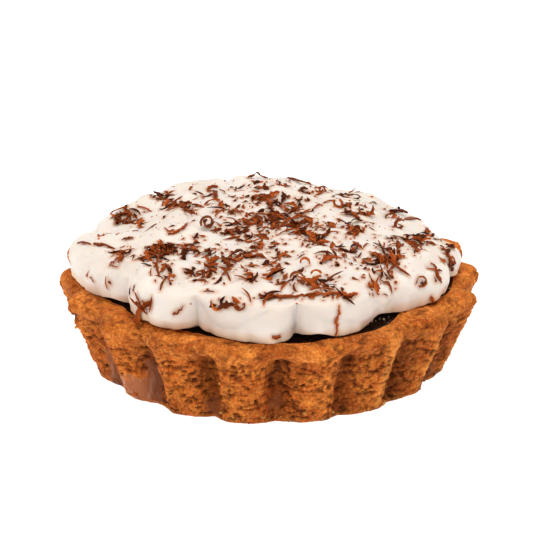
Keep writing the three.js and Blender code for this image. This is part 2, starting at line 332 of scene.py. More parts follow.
crust = {
    "rimRadius": 50.0,
    "baseRadius": 43.0,
    "height": 21.0,
    "rimInner": 43.4,
    "floorRadius": 36.0,
    "floorThickness": 5.0,
    "lipRound": 2.2,
    "innerLipRound": 1.0,
    "footRound": 1.2,
    "rimCrown": 0.35,  # the rim's top is a little rounded
    "rimNotch": 1.8,  # how far the rim dips over a groove that reaches it
    "flutes": 18,
    "firstCrest": 12.4,
    "fluteDrift": 3.2,  # degrees by which the flutes draw closer at the sides
    "grooveFoot": 1.7,
    "grooveDeep": 5.0,
    "deepFrom": 0.4,  # share of the height above which a groove has its full depth
    "sharpFront": 4.6,  # narrow grooves in front, wide ones at the sides
    "sharpSide": 1.7,
    "sharpFrom": (0.96, 0.86),  # from front to side, as cosines of the azimuth
    "skew": 0.45,  # side grooves are steeper on the flank that is nearer the front
    "skewFrom": (-0.4, 0.4),  # sines of the azimuth between which it changes sides
    "skewShift": -0.86,  # keeps a groove's bottom in its place
    "archLow": 15.8,  # a groove ends in an arch under the rim
    "archHigh": 20.2,
    "rimShareFront": 0.22,  # how much of the groove goes on into the rim, in front and at the sides
    "rimShareSide": 0.8,
    "rimShareFrom": (0.93, 0.72),
    "rimFluteOuter": 0.55,  # share of the flutes across the top of the rim
    "rimFluteInner": 0.1,
    "riseFrom": 0.6,  # share of the height above which the wall follows the rim's waves
    "bulges": [(-106, 9, 1.6), (72, 12, 0.6), (108, 8, 0.8)],  # of the rim: azimuth, half angle, mm
    "bulgeHeights": (3, 16),  # between these a bulge grows up the wall
    "bulgeRadii": (42, 45),  # and between these outwards
    "unevenness": 0.35,
    "rimWaves": [(3, 0.6, 0.6), (7, 2.1, 0.4)],  # count, shift and share
    "innerWave": 1.9,  # how far the rim's inner edge wanders
    "innerWaves": [(4, 0.9, 1.0), (9, 2.0, 0.3)],
    "innerFrom": (0.2, 0.6),
    "innerBulges": [(48, 7, -1.5), (-57, 13, -2.0)],  # azimuth, half angle, mm
    "columns": 960,
    "gather": 0.3,  # the columns stand closer together in front, by this share
    "wallRows": 64,
    "skinTop": 18.4,  # above this the wall is smooth baked skin
    "midRadius": 45,  # of the wall, half way up
    "shadeFrom": (0.3, 0.5),  # sines of the azimuth from which the painted shade in the hollows reaches wider on the right
    "shadeReach": 0.55,
    "seed": 7.0,
}
# smooth patches where the wall stuck to its tin: azimuth, height, half width, half height in mm, and share
pressedPatches = [
    (-44, 3.6, 6.2, 3.8, 1.0), (-58.5, 5.5, 2.4, 6.5, 0.95), (-38.3, 6.0, 2.0, 7.5, 0.95),
    (-73, 5.5, 3.2, 5.5, 0.8), (-17.6, 3.2, 2.2, 3.2, 0.55), (2.4, 4.8, 1.8, 2.2, 0.5),
    (62.4, 5.0, 2.0, 5.0, 0.5), (-118, 4.5, 5.0, 4.5, 0.9), (152, 5.0, 6.0, 5.0, 0.9),
    (-165, 4.0, 4.0, 4.0, 0.8),
]


def innerWave(azimuth):  # the rim is thicker and thinner round the tart
    angle = np.radians(azimuth)
    wave = sum(share * np.sin(count * angle + shift) for count, shift, share in crust["innerWaves"])
    wave = crust["innerWave"] * ramp(np.cos(angle), *crust["innerFrom"]) * wave
    return wave + bumps(azimuth, crust["innerBulges"])


def crustSection():  # rows of radius, height, and the shares of flute, crumb, rise and inner wave
    c = crust
    rows = [(0, 0, 0, 0, 0, 0), (0.6 * c["baseRadius"], 0, 0, 0.2, 0, 0)]
    rows += [(c["baseRadius"] - c["footRound"] - 1.6, 0, 0.85, 0.3, 0, 0)]
    for step in np.linspace(0, 90, 5)[:-1]:
        turn = math.radians(step)
        radius = c["baseRadius"] - c["footRound"] * (1 - math.sin(turn))
        rows.append((radius, c["footRound"] * (1 - math.cos(turn)), 1, 0.4 + 0.6 * step / 90, 0, 0))
    wallTop, riseFrom = c["height"] - c["lipRound"], c["riseFrom"] * c["height"]
    for share in np.linspace(0, 1, c["wallRows"]):
        height = mix(c["footRound"], wallTop, share)
        crumb = 1 - 0.1 * ramp(height, c["skinTop"] - 4, c["skinTop"] + 0.6)
        rise = ramp(height, riseFrom, c["height"])
        rows.append((mix(c["baseRadius"], c["rimRadius"], share), height, 1, crumb, rise, 0))
    for step in np.linspace(0, 90, 14)[1:]:
        turn = math.radians(step)
        radius = c["rimRadius"] - c["lipRound"] * (1 - math.cos(turn))
        height = wallTop + c["lipRound"] * math.sin(turn)
        flute = mix(1, c["rimFluteOuter"], step / 90)
        rows.append((radius, height, flute, 0.9, ramp(height, riseFrom, c["height"]), 0))
    outer, inner = c["rimRadius"] - c["lipRound"], c["rimInner"] + c["innerLipRound"]
    for share in np.linspace(0, 1, 15)[1:]:
        crown = c["rimCrown"] * math.sin(math.pi * share)
        flute = mix(c["rimFluteOuter"], c["rimFluteInner"], share)
        rows.append((mix(outer, inner, share), c["height"] + crown, flute, 0.9, 1, share))
    for step in np.linspace(0, 90, 5)[1:]:
        turn = math.radians(step)
        radius = inner - c["innerLipRound"] * math.sin(turn)
        height = c["height"] - c["innerLipRound"] * (1 - math.cos(turn))
        rows.append((radius, height, c["rimFluteInner"] * (1 - step / 90), 0.4, 1 - step / 90, 1))
    rows += [(c["rimInner"] - 1.2, c["height"] - 3.5, 0, 0.2, 0, 0.8)]
    rows += [(c["floorRadius"], c["floorThickness"], 0, 0, 0, 0), (0, c["floorThickness"], 0, 0, 0, 0)]
    return np.array(rows)


def crustShell():  # the section is turned round, and its wall fluted
    c = crust
    rows = crustSection()
    section = np.stack([rows[:, 0] * mm, 0 * rows[:, 0], rows[:, 1] * mm], -1)
    obj = newObject("crust_shell", section, edges=[(i, i + 1) for i in range(len(rows) - 1)])
    giveAttribute(obj.data, "shares", rows[:, 2:5])
    giveAttribute(obj.data, "inner", rows[:, 5])
    values = {
        "Columns": c["columns"] + 1, "Rows": len(rows), "Gather": c["gather"], "Flutes": float(c["flutes"]),
        "First crest": math.radians(c["firstCrest"]), "Flute drift": math.radians(c["fluteDrift"]),
        "Height": c["height"] * mm, "Groove foot": c["grooveFoot"] * mm, "Groove deep": c["grooveDeep"] * mm,
        "Sharp front": c["sharpFront"], "Sharp side": c["sharpSide"], "Skew": c["skew"],
        "Arch low": c["archLow"] * mm, "Arch high": c["archHigh"] * mm,
        "Rim share front": c["rimShareFront"], "Rim share side": c["rimShareSide"],
        "Unevenness": c["unevenness"] * mm, "Rim notch": c["rimNotch"] * mm,
        "Inner wave": c["innerWave"] * mm,
    }
    tree, given = newTree("fluted shell", values)
    grid = add(tree, "GeometryNodeMeshGrid", 1.0, 1.0, given["Columns"], given["Rows"])
    position = add(tree, "GeometryNodeInputPosition")
    across, along = add(tree, "SeparateXYZ", position).node.outputs[:2]
    angle = add(tree, "Math", across, 2 * math.pi, math.pi, operation="MULTIPLY_ADD")
    gather = add(tree, "Math", angle, operation="SINE")
    gather = add(tree, "Math", gather, given["Gather"], operation="MULTIPLY")
    angle = add(tree, "Math", angle, gather, operation="SUBTRACT")
    lastRow = add(tree, "Math", given["Rows"], 1.0, operation="SUBTRACT")
    along = add(tree, "Math", along, 0.5, operation="ADD")
    row = add(tree, "Math", along, lastRow, operation="MULTIPLY")
    row = add(tree, "Math", row, operation="ROUND")
    shares = add(tree, "GeometryNodeInputNamedAttribute", "shares", data_type="FLOAT_VECTOR")
    inner = add(tree, "GeometryNodeInputNamedAttribute", "inner", data_type="FLOAT")
    place, shares, inner = [
        add(tree, "GeometryNodeSampleIndex", given["Geometry"], field, row, data_type=kind, domain="POINT")
        for field, kind in ((position, "FLOAT_VECTOR"), (shares, "FLOAT_VECTOR"), (inner, "FLOAT"))]
    radius, _, height = add(tree, "SeparateXYZ", place).node.outputs
    flute, crumb, rise = add(tree, "SeparateXYZ", shares).node.outputs
    # 0 on a crest, 1 in a groove
    cosine = add(tree, "Math", angle, operation="COSINE")
    sine = add(tree, "Math", angle, operation="SINE")
    drift = add(tree, "Math", sine, 3.0, operation="POWER")
    turn = add(tree, "Math", drift, given["Flute drift"], angle, operation="MULTIPLY_ADD")
    turn = add(tree, "Math", turn, given["First crest"], operation="SUBTRACT")
    turn = add(tree, "Math", turn, given["Flutes"], operation="MULTIPLY")
    turn = add(tree, "Math", turn, 0.5, operation="MULTIPLY")
    lean = add(tree, "MapRange", sine, *c["skewFrom"], -1.0, 1.0)
    lean = add(tree, "Math", lean, given["Skew"], operation="MULTIPLY")
    turn = add(tree, "Math", lean, c["skewShift"], turn, operation="MULTIPLY_ADD")
    dip = add(tree, "Math", turn, operation="SINE")
    dip = add(tree, "Math", dip, dip, operation="MULTIPLY")
    turn = add(tree, "Math", dip, lean, turn, operation="MULTIPLY_ADD")
    dip = add(tree, "Math", turn, operation="SINE")
    dip = add(tree, "Math", dip, operation="ABSOLUTE")
    sharpness, rimShare = [
        add(tree, "MapRange", cosine, *c[where], given[front], given[side], interpolation_type="SMOOTHSTEP")
        for where, front, side in (("sharpFrom", "Sharp front", "Sharp side"),
                                   ("rimShareFrom", "Rim share front", "Rim share side"))]
    dip = add(tree, "Math", dip, sharpness, operation="POWER")
    # a groove deepens above the foot, and ends in an arch below the rim or runs on into it
    up = add(tree, "Math", height, given["Height"], operation="DIVIDE")
    depth = add(tree, "MapRange", up, 0.0, c["deepFrom"], given["Groove foot"], given["Groove deep"],
                interpolation_type="SMOOTHSTEP")
    arch = add(tree, "MapRange", height, given["Arch low"], given["Arch high"], 1.0, rimShare,
               interpolation_type="SMOOTHSTEP")
    arch = add(tree, "Math", arch, flute, operation="MULTIPLY")
    groove = add(tree, "Math", arch, dip, operation="MULTIPLY")  # 1 in its bottom
    depth = add(tree, "Math", depth, groove, operation="MULTIPLY")
    radius = add(tree, "Math", radius, depth, operation="SUBTRACT")
    inFront = add(tree, "MapRange", cosine, *c["innerFrom"], 0.0, inner, interpolation_type="SMOOTHSTEP")
    waves = []
    for count, shift, share in c["innerWaves"] + c["rimWaves"]:
        wave = add(tree, "Math", angle, count, shift, operation="MULTIPLY_ADD")
        wave = add(tree, "Math", wave, operation="SINE")
        waves.append(add(tree, "Math", wave, share, operation="MULTIPLY"))
    for wave in waves[:2]:
        wave = add(tree, "Math", wave, given["Inner wave"], operation="MULTIPLY")
        radius = add(tree, "Math", wave, inFront, radius, operation="MULTIPLY_ADD")
    for middle, halfAngle, size in c["innerBulges"]:
        away = add(tree, "Math", angle, math.radians(middle % 360), operation="SUBTRACT")
        away = add(tree, "Math", away, math.radians(halfAngle), operation="DIVIDE")
        away = add(tree, "Math", away, away, operation="MULTIPLY")
        away = add(tree, "Math", away, -1.0, operation="MULTIPLY")
        bulge = add(tree, "Math", away, operation="EXPONENT")
        bulge = add(tree, "Math", bulge, size * mm, operation="MULTIPLY")
        radius = add(tree, "Math", bulge, inner, radius, operation="MULTIPLY_ADD")
    # the rim is hand pressed: it waves a little and dips over the grooves
    wave = add(tree, "Math", waves[2], waves[3], operation="ADD")
    wave = add(tree, "Math", wave, given["Unevenness"], operation="MULTIPLY")
    notch = add(tree, "Math", dip, flute, operation="MULTIPLY")
    notch = add(tree, "Math", notch, rimShare, operation="MULTIPLY")
    notch = add(tree, "Math", notch, given["Rim notch"], operation="MULTIPLY")
    lift = add(tree, "Math", wave, notch, operation="SUBTRACT")
    height = add(tree, "Math", lift, rise, height, operation="MULTIPLY_ADD")
    x = add(tree, "Math", radius, sine, operation="MULTIPLY")
    y = add(tree, "Math", radius, cosine, operation="MULTIPLY")
    y = add(tree, "Math", y, -1.0, operation="MULTIPLY")
    spot = add(tree, "CombineXYZ", x, y, height)
    # painted shade: the groove share, widened on the right, stored as groove for the shortcrust to darken
    # the hollows and light the crests
    reach = add(tree, "MapRange", sine, *c["shadeFrom"], 1.0, c["shadeReach"])
    hollowShade = add(tree, "Math", groove, reach, operation="POWER")
    kept = grid
    for name, value in (("groove", hollowShade), ("crumb", crumb)):
        kept = add(tree, "GeometryNodeStoreNamedAttribute", kept, {"Name": name, "Value": value},
                   data_type="FLOAT")
    shaped = add(tree, "GeometryNodeSetPosition", kept, {"Position": spot})
    closed = add(tree, "GeometryNodeMergeByDistance", shaped, {"Distance": weld})
    return applyTree(obj, tree, closed, values)


crumbRelief = {  # sizes of each kind of unevenness in mm, and how deep it goes
    "size": {"lump": 5.0, "knob": 2.0, "grain": 0.9, "patch": 3.6, "pit": 1.2, "crack": 1.0},
    "detail": {"lump": 1.0, "knob": 1.0, "grain": 2.0, "patch": 2.0, "pit": 2.0, "crack": 2.0},
    "depth": {"Lump": 1.2, "Knob": 0.52, "Grain": 0.6, "Cell": 0.52, "Pit": 0.75},
    "cells": (0.6, 1.15),  # fine and coarse crumbs
    "pits": (0.54, 0.63),  # where a pit or crack starts and is full
    "cracks": (0.56, 0.64),
    "bend": (0.8, 1.3),  # how often and how far the cells are bent
    "coarseFrom": (0.42, 0.58),
    "patchFrom": (0.36, 0.6),
    "patchLeast": 0.3,  # some patches are smoother
    "softLeast": 0.4,
    "brokenFrom": (0.7, 0.98),  # pits and cracks are below the rim
}


def roughenCrust(obj):  # crumbs, pits and level cracks in the wall, and none where it is pressed smooth
    points = meshPoints(obj.data) / mm
    azimuth = np.degrees(np.arctan2(points[:, 0], -points[:, 1]))
    radius, height = np.hypot(points[:, 0], points[:, 1]), points[:, 2]
    pressed = np.zeros(len(points))
    # the patches have uneven edges
    wobble = 0.14 * np.sin(azimuth * 1.3 + height * 1.1) + 0.1 * np.sin(height * 2.9 - azimuth * 0.9)
    for middle, level, halfWidth, halfHeight, amount in pressedPatches:
        across = turnFrom(middle, azimuth) * math.radians(1) * crust["midRadius"]  # mm along the wall
        away = np.hypot(across / halfWidth, (height - level) / halfHeight)
        pressed = np.maximum(pressed, amount * (1 - ramp(away + wobble, 0.55, 1.1)))
    giveAttribute(obj.data, "pressed", pressed * (radius > crust["baseRadius"] - 6))  # not on the inside
    bulge = bumps(azimuth, crust["bulges"])
    bulge = bulge * ramp(height, *crust["bulgeHeights"]) * ramp(radius, *crust["bulgeRadii"])
    points[:, :2] *= (1 + bulge / np.maximum(radius, 1))[:, None]
    movePoints(obj.data, points * mm)
    relief = crumbRelief
    values = {name + " depth": depth * mm for name, depth in relief["depth"].items()}
    values["Seed"] = crust["seed"]
    tree, given = newTree("crumb relief", values)
    position = add(tree, "GeometryNodeInputPosition")
    spot = add(tree, "VectorMath", position, 1 / mm, operation="SCALE")
    oval = add(tree, "VectorMath", spot, (0.6, 0.6, 1.0), operation="MULTIPLY")
    flat = add(tree, "VectorMath", spot, (0.3, 0.3, 1.0), operation="MULTIPLY")
    noise = {}
    for name, size in relief["size"].items():
        vector = {"pit": oval, "crack": flat}.get(name, spot)
        noise[name] = add(tree, "TexNoise", vector, given["Seed"], 1 / size, relief["detail"][name], 0.55,
                          noise_dimensions="4D")
    # crumbs are rounded cells with gaps between
    bent = add(tree, "TexNoise", spot, relief["bend"][0], out="Color")
    bent = add(tree, "VectorMath", bent, relief["bend"][1], operation="SCALE")
    bent = add(tree, "VectorMath", bent, spot, operation="ADD")
    fine, coarse = [add(tree, "TexVoronoi", bent, 1 / size, feature="F1") for size in relief["cells"]]
    kind = add(tree, "MapRange", noise["patch"], *relief["coarseFrom"], interpolation_type="SMOOTHSTEP")
    cell = add(tree, "Mix", kind, fine, coarse, data_type="FLOAT")
    crumb, smooth = [add(tree, "GeometryNodeInputNamedAttribute", name, data_type="FLOAT")
                     for name in ("crumb", "pressed")]
    rough = add(tree, "Math", 1.0, smooth, operation="SUBTRACT")
    calm = add(tree, "Math", crumb, 3.0, operation="POWER")
    patch = add(tree, "MapRange", noise["patch"], *relief["patchFrom"], relief["patchLeast"])
    for share in (calm, patch):
        rough = add(tree, "Math", rough, share, operation="MULTIPLY")
    soft = add(tree, "MapRange", crumb, 0.0, 1.0, relief["softLeast"])
    broken = add(tree, "MapRange", crumb, *relief["brokenFrom"])
    broken = add(tree, "Math", broken, rough, operation="MULTIPLY")
    pits, cracks = [add(tree, "MapRange", noise[name], *relief[name + "s"], interpolation_type="SMOOTHSTEP")
                    for name in ("pit", "crack")]
    holes = add(tree, "Math", pits, cracks, operation="MAXIMUM")
    holes = add(tree, "Math", holes, broken, operation="MULTIPLY")
    sink = add(tree, "Math", holes, given["Pit depth"], operation="MULTIPLY")
    for value, middle, name, share in (
        (noise["grain"], 0.5, "Grain", rough), (noise["lump"], 0.5, "Lump", soft),
        (noise["knob"], 0.5, "Knob", soft), (cell, 0.45, "Cell", rough),
    ):
        part = add(tree, "Math", value, middle, operation="SUBTRACT")
        part = add(tree, "Math", part, given[name + " depth"], operation="MULTIPLY")
        part = add(tree, "Math", part, share, operation="MULTIPLY")
        sink = add(tree, "Math", sink, part, operation="ADD")
    sink = add(tree, "Math", sink, -1.0, operation="MULTIPLY")
    push = add(tree, "VectorMath", add(tree, "GeometryNodeInputNormal"), sink, operation="SCALE")
    kept = given["Geometry"]
    # the hole share also marks the pits and cracks for painted shade in the shortcrust's colour
    for name, value in (("hole", holes), ("cell", cell), ("rough", rough)):
        kept = add(tree, "GeometryNodeStoreNamedAttribute", kept, {"Name": name, "Value": value},
                   data_type="FLOAT")
    moved = add(tree, "GeometryNodeSetPosition", kept, {"Offset": push})
    applyTree(obj, tree, moved, values)
    keepAboveTable(obj)
    return finishMesh(obj)


crustColours = {
    "wall": ("#B85618", "#E88C38"),
    "skin": ("#B25418", "#EA8E3C"),
    "layers": {  # over these, from the lowest up; the layers for the gaps between crumbs, the holes and the groove hollows are painted shade, those for the pressed streaks and the crests on the right are painted highlights, and the one near the foot makes it darker towards the bottom
        "bake": "#A04814", "light": "#DC9850", "dark": "#7A3A12", "grains": "#E8B06C", "gapShade": "#6E340E",
        "pressed": "#A6623C", "paintedSheen": "#CFA08A", "shade": "#ACA094", "crest": "#F2A450",
        "darkerAtFoot": "#3C1A06", "hole": "#3A1806",
    },
}


def shortcrust():  # baked shortcrust: matt golden crumb, a redder rim, dull pressed patches; painted shade in the gaps between crumbs, in pits and cracks and in the groove hollows, painted highlights on the right-hand crests and painted sheen streaks on the pressed patches, darker towards the foot
    material = newMaterial("baked shortcrust")
    tree = material.node_tree
    spot = add(tree, "TexCoord", out="Object")
    spot = add(tree, "VectorMath", spot, 1 / mm, operation="SCALE")
    side, _, height = add(tree, "SeparateXYZ", spot).node.outputs
    crumb, hole, groove, pressed, cell, rough = [
        add(tree, "Attribute", out="Fac", attribute_name=name)
        for name in ("crumb", "hole", "groove", "pressed", "cell", "rough")]
    upright = add(tree, "VectorMath", spot, (1.6, 1.6, 0.12), operation="MULTIPLY")
    patchy, speck, bake, fine, paintedSheen = [
        add(tree, "TexNoise", vector, 1 / size, detail, roughness) for vector, size, detail, roughness in (
            (spot, 3.4, 4.0, 0.7), (spot, 0.6, 2.0, 0.5), (spot, 6.5, 3.0, 0.5), (spot, 0.3, 1.0, 0.5),
            (upright, 1.0, 2.0, 0.5))]
    grains = add(tree, "TexVoronoi", spot, 1 / 1.05, feature="F1")
    patchy = add(tree, "MapRange", patchy, 0.35, 0.65)
    uneven = add(tree, "Math", patchy, 1.6, -0.5, operation="MULTIPLY_ADD")
    share = {"pressed": pressed}
    for name, value, start, full, least, most in (
        ("skin", crumb, 0.98, 0.91, 0.0, 0.9), ("bake", bake, 0.47, 0.63, 0.0, 0.6),
        ("light", speck, 0.54, 0.68, 0.0, 0.35), ("dark", speck, 0.47, 0.35, 0.0, 0.45),
        # painted shade in the gaps between crumbs
        ("grains", grains, 0.26, 0.12, 0.0, 0.45), ("gapShade", cell, 0.42, 0.72, 0.0, 0.9),
        # painted sheen streaks on the pressed patches; painted shade in the hollows of the grooves
        ("paintedSheen", paintedSheen, 0.56, 0.68, 0.0, 0.6), ("shade", groove, 0.3, 0.9, 0.0, 0.95),
        ("below", crumb, 0.9, 0.98, 0.35, 1.0),  # less so on the rim
        # painted highlight on the crests on the right-hand side
        ("crest", groove, 0.3, 0.05, 0.0, 0.4), ("right", side, 16.0, 24.0, 0.0, 1.0),
        # darker towards the foot; painted shade in the pits and cracks
        ("darkerAtFoot", height, 2.4, 0.5, 0.0, 0.9), ("hole", hole, 0.0, 1.0, 0.0, 0.9),
    ):
        share[name] = add(tree, "MapRange", value, start, full, least, most)
    for name, other in (
        ("grains", share["skin"]), ("gapShade", rough), ("paintedSheen", pressed), ("shade", share["below"]),
        ("crest", share["right"]), ("crest", share["below"]), ("darkerAtFoot", uneven),
    ):
        share[name] = add(tree, "Math", share[name], other, operation="MULTIPLY", use_clamp=True)
    wall, skin = [add(tree, "Mix", patchy, *map(linear, crustColours[name]), data_type="RGBA")
                  for name in ("wall", "skin")]
    colour = add(tree, "Mix", share["skin"], wall, skin, data_type="RGBA")
    for name, code in crustColours["layers"].items():
        # the painted shade darkens the colour by multiplying
        blend = "MULTIPLY" if name == "shade" else "MIX"
        colour = add(tree, "Mix", share[name], colour, linear(code), data_type="RGBA", blend_type=blend)
    bump = add(tree, "Bump", {"Height": speck, "Strength": 0.45, "Distance": 0.3 * mm})
    bump = add(tree, "Bump", {"Height": fine, "Strength": 0.3, "Distance": 0.15 * mm, "Normal": bump})
    return finishMaterial(material, {
        "Base Color": colour, "Roughness": add(tree, "MapRange", pressed, 0.0, 1.0, 0.75, 0.36),
        "Normal": bump, "IOR": 1.45, "Specular IOR Level": 0.12})


crustPiece = roughenCrust(crustShell())
crustPiece.data.materials.clear()
crustPiece.data.materials.append(shortcrust())
print("crust:", triangleCount(crustPiece), "triangles")


# Toffee filling

filling = {
    "level": 20.0,
    "creep": 0.5,  # the edge creeps up the shell
    "radius": 43.0,
    "floor": 5.3,
    "floorRadius": 35.6,
    "columns": 240,
    "rings": 60,
    "ripple": 0.35,
    "rippleSize": 3.5,
}


def makeFilling():
    azimuth = np.arange(filling["columns"]) * 360 / filling["columns"]
    rows = [onAzimuth(azimuth, filling["floorRadius"], filling["floor"])]
    for share in np.linspace(1, 0, filling["rings"])[:-1]:
        height = filling["level"] + filling["creep"] * share ** 30
        rows.append(onAzimuth(azimuth, (filling["radius"] + innerWave(azimuth)) * share, height))
    obj = ringSolid("filling_toffee", rows, (0, 0, filling["level"]), (0, 0, filling["floor"]))
    values = {"Depth": 2 * filling["ripple"] * mm}
    tree, given = newTree("toffee ripple", values)
    position = add(tree, "GeometryNodeInputPosition")
    ripple = add(tree, "TexNoise", position, 1 / (filling["rippleSize"] * mm), 2.0)
    ripple = add(tree, "Math", ripple, 0.5, operation="SUBTRACT")
    ripple = add(tree, "Math", ripple, given["Depth"], operation="MULTIPLY")
    offset = add(tree, "CombineXYZ", {"Z": ripple})
    moved = add(tree, "GeometryNodeSetPosition", given["Geometry"], {"Offset": offset})
    return finishMesh(applyTree(obj, tree, moved, values))


def toffee():  # boiled sugar and cream with a sticky gloss; nearly black, partly its own dark colour and partly painted shade for the gaps under the cream
    material = newMaterial("toffee with painted shade")
    tree = material.node_tree
    cloud = add(tree, "TexNoise", add(tree, "TexCoord", out="Object"), 1 / (1.5 * mm), 2.0)
    return finishMaterial(material, {
        # nearly black: partly the toffee's colour, partly painted shade of the gaps under the cream
        "Base Color": add(tree, "Mix", cloud, linear("#0E0502"), linear("#2C1308"), data_type="RGBA"),
        "Roughness": add(tree, "MapRange", cloud, 0.0, 1.0, 0.06, 0.3),
        "Normal": add(tree, "Bump", {"Height": cloud, "Strength": 1.0, "Distance": 1.2 * mm}),
        "IOR": 1.5, "Specular IOR Level": 0.3})


fillingPiece = makeFilling()
fillingPiece.data.materials.append(toffee())
print("filling:", triangleCount(fillingPiece), "triangles")


# Whipped cream

cream = {
    "lobes": [  # azimuth, reach at its left and right, and half angle of each spoonful at the edge
        (-78, 49.6, 43.4, 27), (-37.3, 42.8, 46.4, 15.2), (-8.5, 42.5, 50.0, 16.5), (21.5, 48.4, 43.2, 14.8),
        (38, 42.0, 41.0, 10), (55.5, 40.8, 46.4, 18.2), (91, 45.6, 44.7, 17), (122, 43.4, 42.6, 14),
        (149, 42.6, 43.4, 15), (178, 44.6, 44.6, 16), (-151, 43.6, 43.8, 17), (-119, 45, 46.4, 17),
    ],
    "squareness": 2.6,  # 2 is a round lobe, more is a flatter one
    "creaseRadius": 37.5,
    "creaseFill": 1.45,
    # azimuth, half angle and mm: where it stands off the rim over the filling, and where its edge is lower
    "footLifts": [(-57, 5, 0.8), (-23.5, 3.5, 0.7), (13, 4.5, 1.8), (37, 4.5, 1.2), (75, 5, 1.0)],
    "edgeSinks": [(-106, 20, 3.6), (107, 24, 4.4), (155, 16, 2.2)],
    "sinkFrom": (22, 43),  # radius over which it falls to the edge
    # height, inset and crease fill up the edge, round at the sides and square in front
    "section": [(23, 0.3, 0), (25, 0, 0.1), (27, 0.5, 0.45), (28.6, 1.5, 0.75), (29.7, 3, 0.9)],
    "frontSection": [(23, 0.3, 0), (25.2, 0, 0.04), (27.6, 0.1, 0.2), (29.2, 0.7, 0.45), (30.1, 2.2, 0.8)],
    "frontFrom": (308, 328),  # azimuths between which the section turns square, and round again
    "frontTo": (26, 42),
    "shoulder": 0.95,  # share of the last reach where the top begins
    "underside": 20.0,
    "rimTop": 21,
    "rimRest": 21.5,
    "footInset": 0.5,
    "ruffle": 0.22,  # small unevenness of the lower edge
    "ruffleWaves": [(31, 1, 1.0), (53, 2, 0.7), (87, 0, 0.5)],  # count, shift and share
    "ruffleTop": 27,
    "liftFade": 6,  # height above the rim at which the foot's lift has gone
    "sinkFull": 9,  # and at which the edge's sinking is full
    "plugDraw": 3,  # how far the plug draws in under a lift, in lifts
    "overhang": 5.0,  # the edge hangs over the filling, dark beneath
    "middleTop": 31.6,
    "edgeTop": 30.0,
    "mounds": 7,
    "moundRing": 24.0,
    "moundFirst": 27.0,
    "moundHalf": 7.0,
    "moundRise": 1.0,
    "spoonfuls": [  # x, y, half width and rise
        (12.6, -23.4, 6.6, 1.7), (20.0, -31.5, 5.2, 0.9), (4.5, 27.0, 7.0, 1.0), (-27, -22, 7, 0.8),
        (30.0, -16.0, 7.0, 0.9), (-8.0, -35.0, 8.0, 0.6),
    ],
    "columns": 560,
    "sideSteps": 7,  # between two rows of the section
    "topRings": 86,
    "bendSize": 16,  # the folds are bent
    "bend": 9,
    "freeHeights": (21.4, 24),  # between these the folds begin above the rim
    "seed": 3.0,
}


def lobeReach(azimuth, spread):
    reach = np.full_like(azimuth, cream["creaseRadius"])
    for middle, left, right, halfAngle in cream["lobes"]:
        turn = turnFrom(middle, azimuth)
        away = np.minimum(np.abs(turn) / (halfAngle * spread), 1)
        most = mix(left, right, np.clip(0.5 + 0.5 * turn / halfAngle, 0, 1))
        out = (1 - away ** cream["squareness"]) ** (1 / cream["squareness"])
        reach = np.maximum(reach, mix(cream["creaseRadius"], most, out))
    return reach


def creamHeight(x, y):  # a low dome with soft mounds
    radius = np.hypot(x, y)
    height = mix(cream["middleTop"], cream["edgeTop"], (radius / crust["rimRadius"]) ** 2)
    sink = bumps(np.degrees(np.arctan2(x, -y)), cream["edgeSinks"])
    height = height - sink * ramp(radius, *cream["sinkFrom"])
    for i in range(cream["mounds"]):
        spot = onAzimuth(cream["moundFirst"] + 360 * i / cream["mounds"], cream["moundRing"], 0)
        away = np.hypot(x - spot[0], y - spot[1]) / cream["moundHalf"]
        height = height + cream["moundRise"] * np.exp(-away ** 2)
    for middleX, middleY, half, rise in cream["spoonfuls"]:
        height = height + rise * np.exp(-(np.hypot(x - middleX, y - middleY) / half) ** 4)
    return height


def onTopOfCream(azimuth, radius):
    spot = onAzimuth(azimuth, radius, 0)
    spot[:, 2] = creamHeight(spot[:, 0], spot[:, 1])
    return spot


def smoothRows(rows, steps):  # a Catmull-Rom curve through the rows
    padded = [rows[0], *rows, rows[-1]]
    made = []
    for i in range(len(rows) - 1):
        a, b, c, d = padded[i:i + 4]
        for t in np.linspace(0, 1, steps, endpoint=False):
            made.append(0.5 * (2 * b + (c - a) * t + (2 * a - 5 * b + 4 * c - d) * t ** 2
                               + (3 * b - a - 3 * c + d) * t ** 3))
    return made + [rows[-1]]


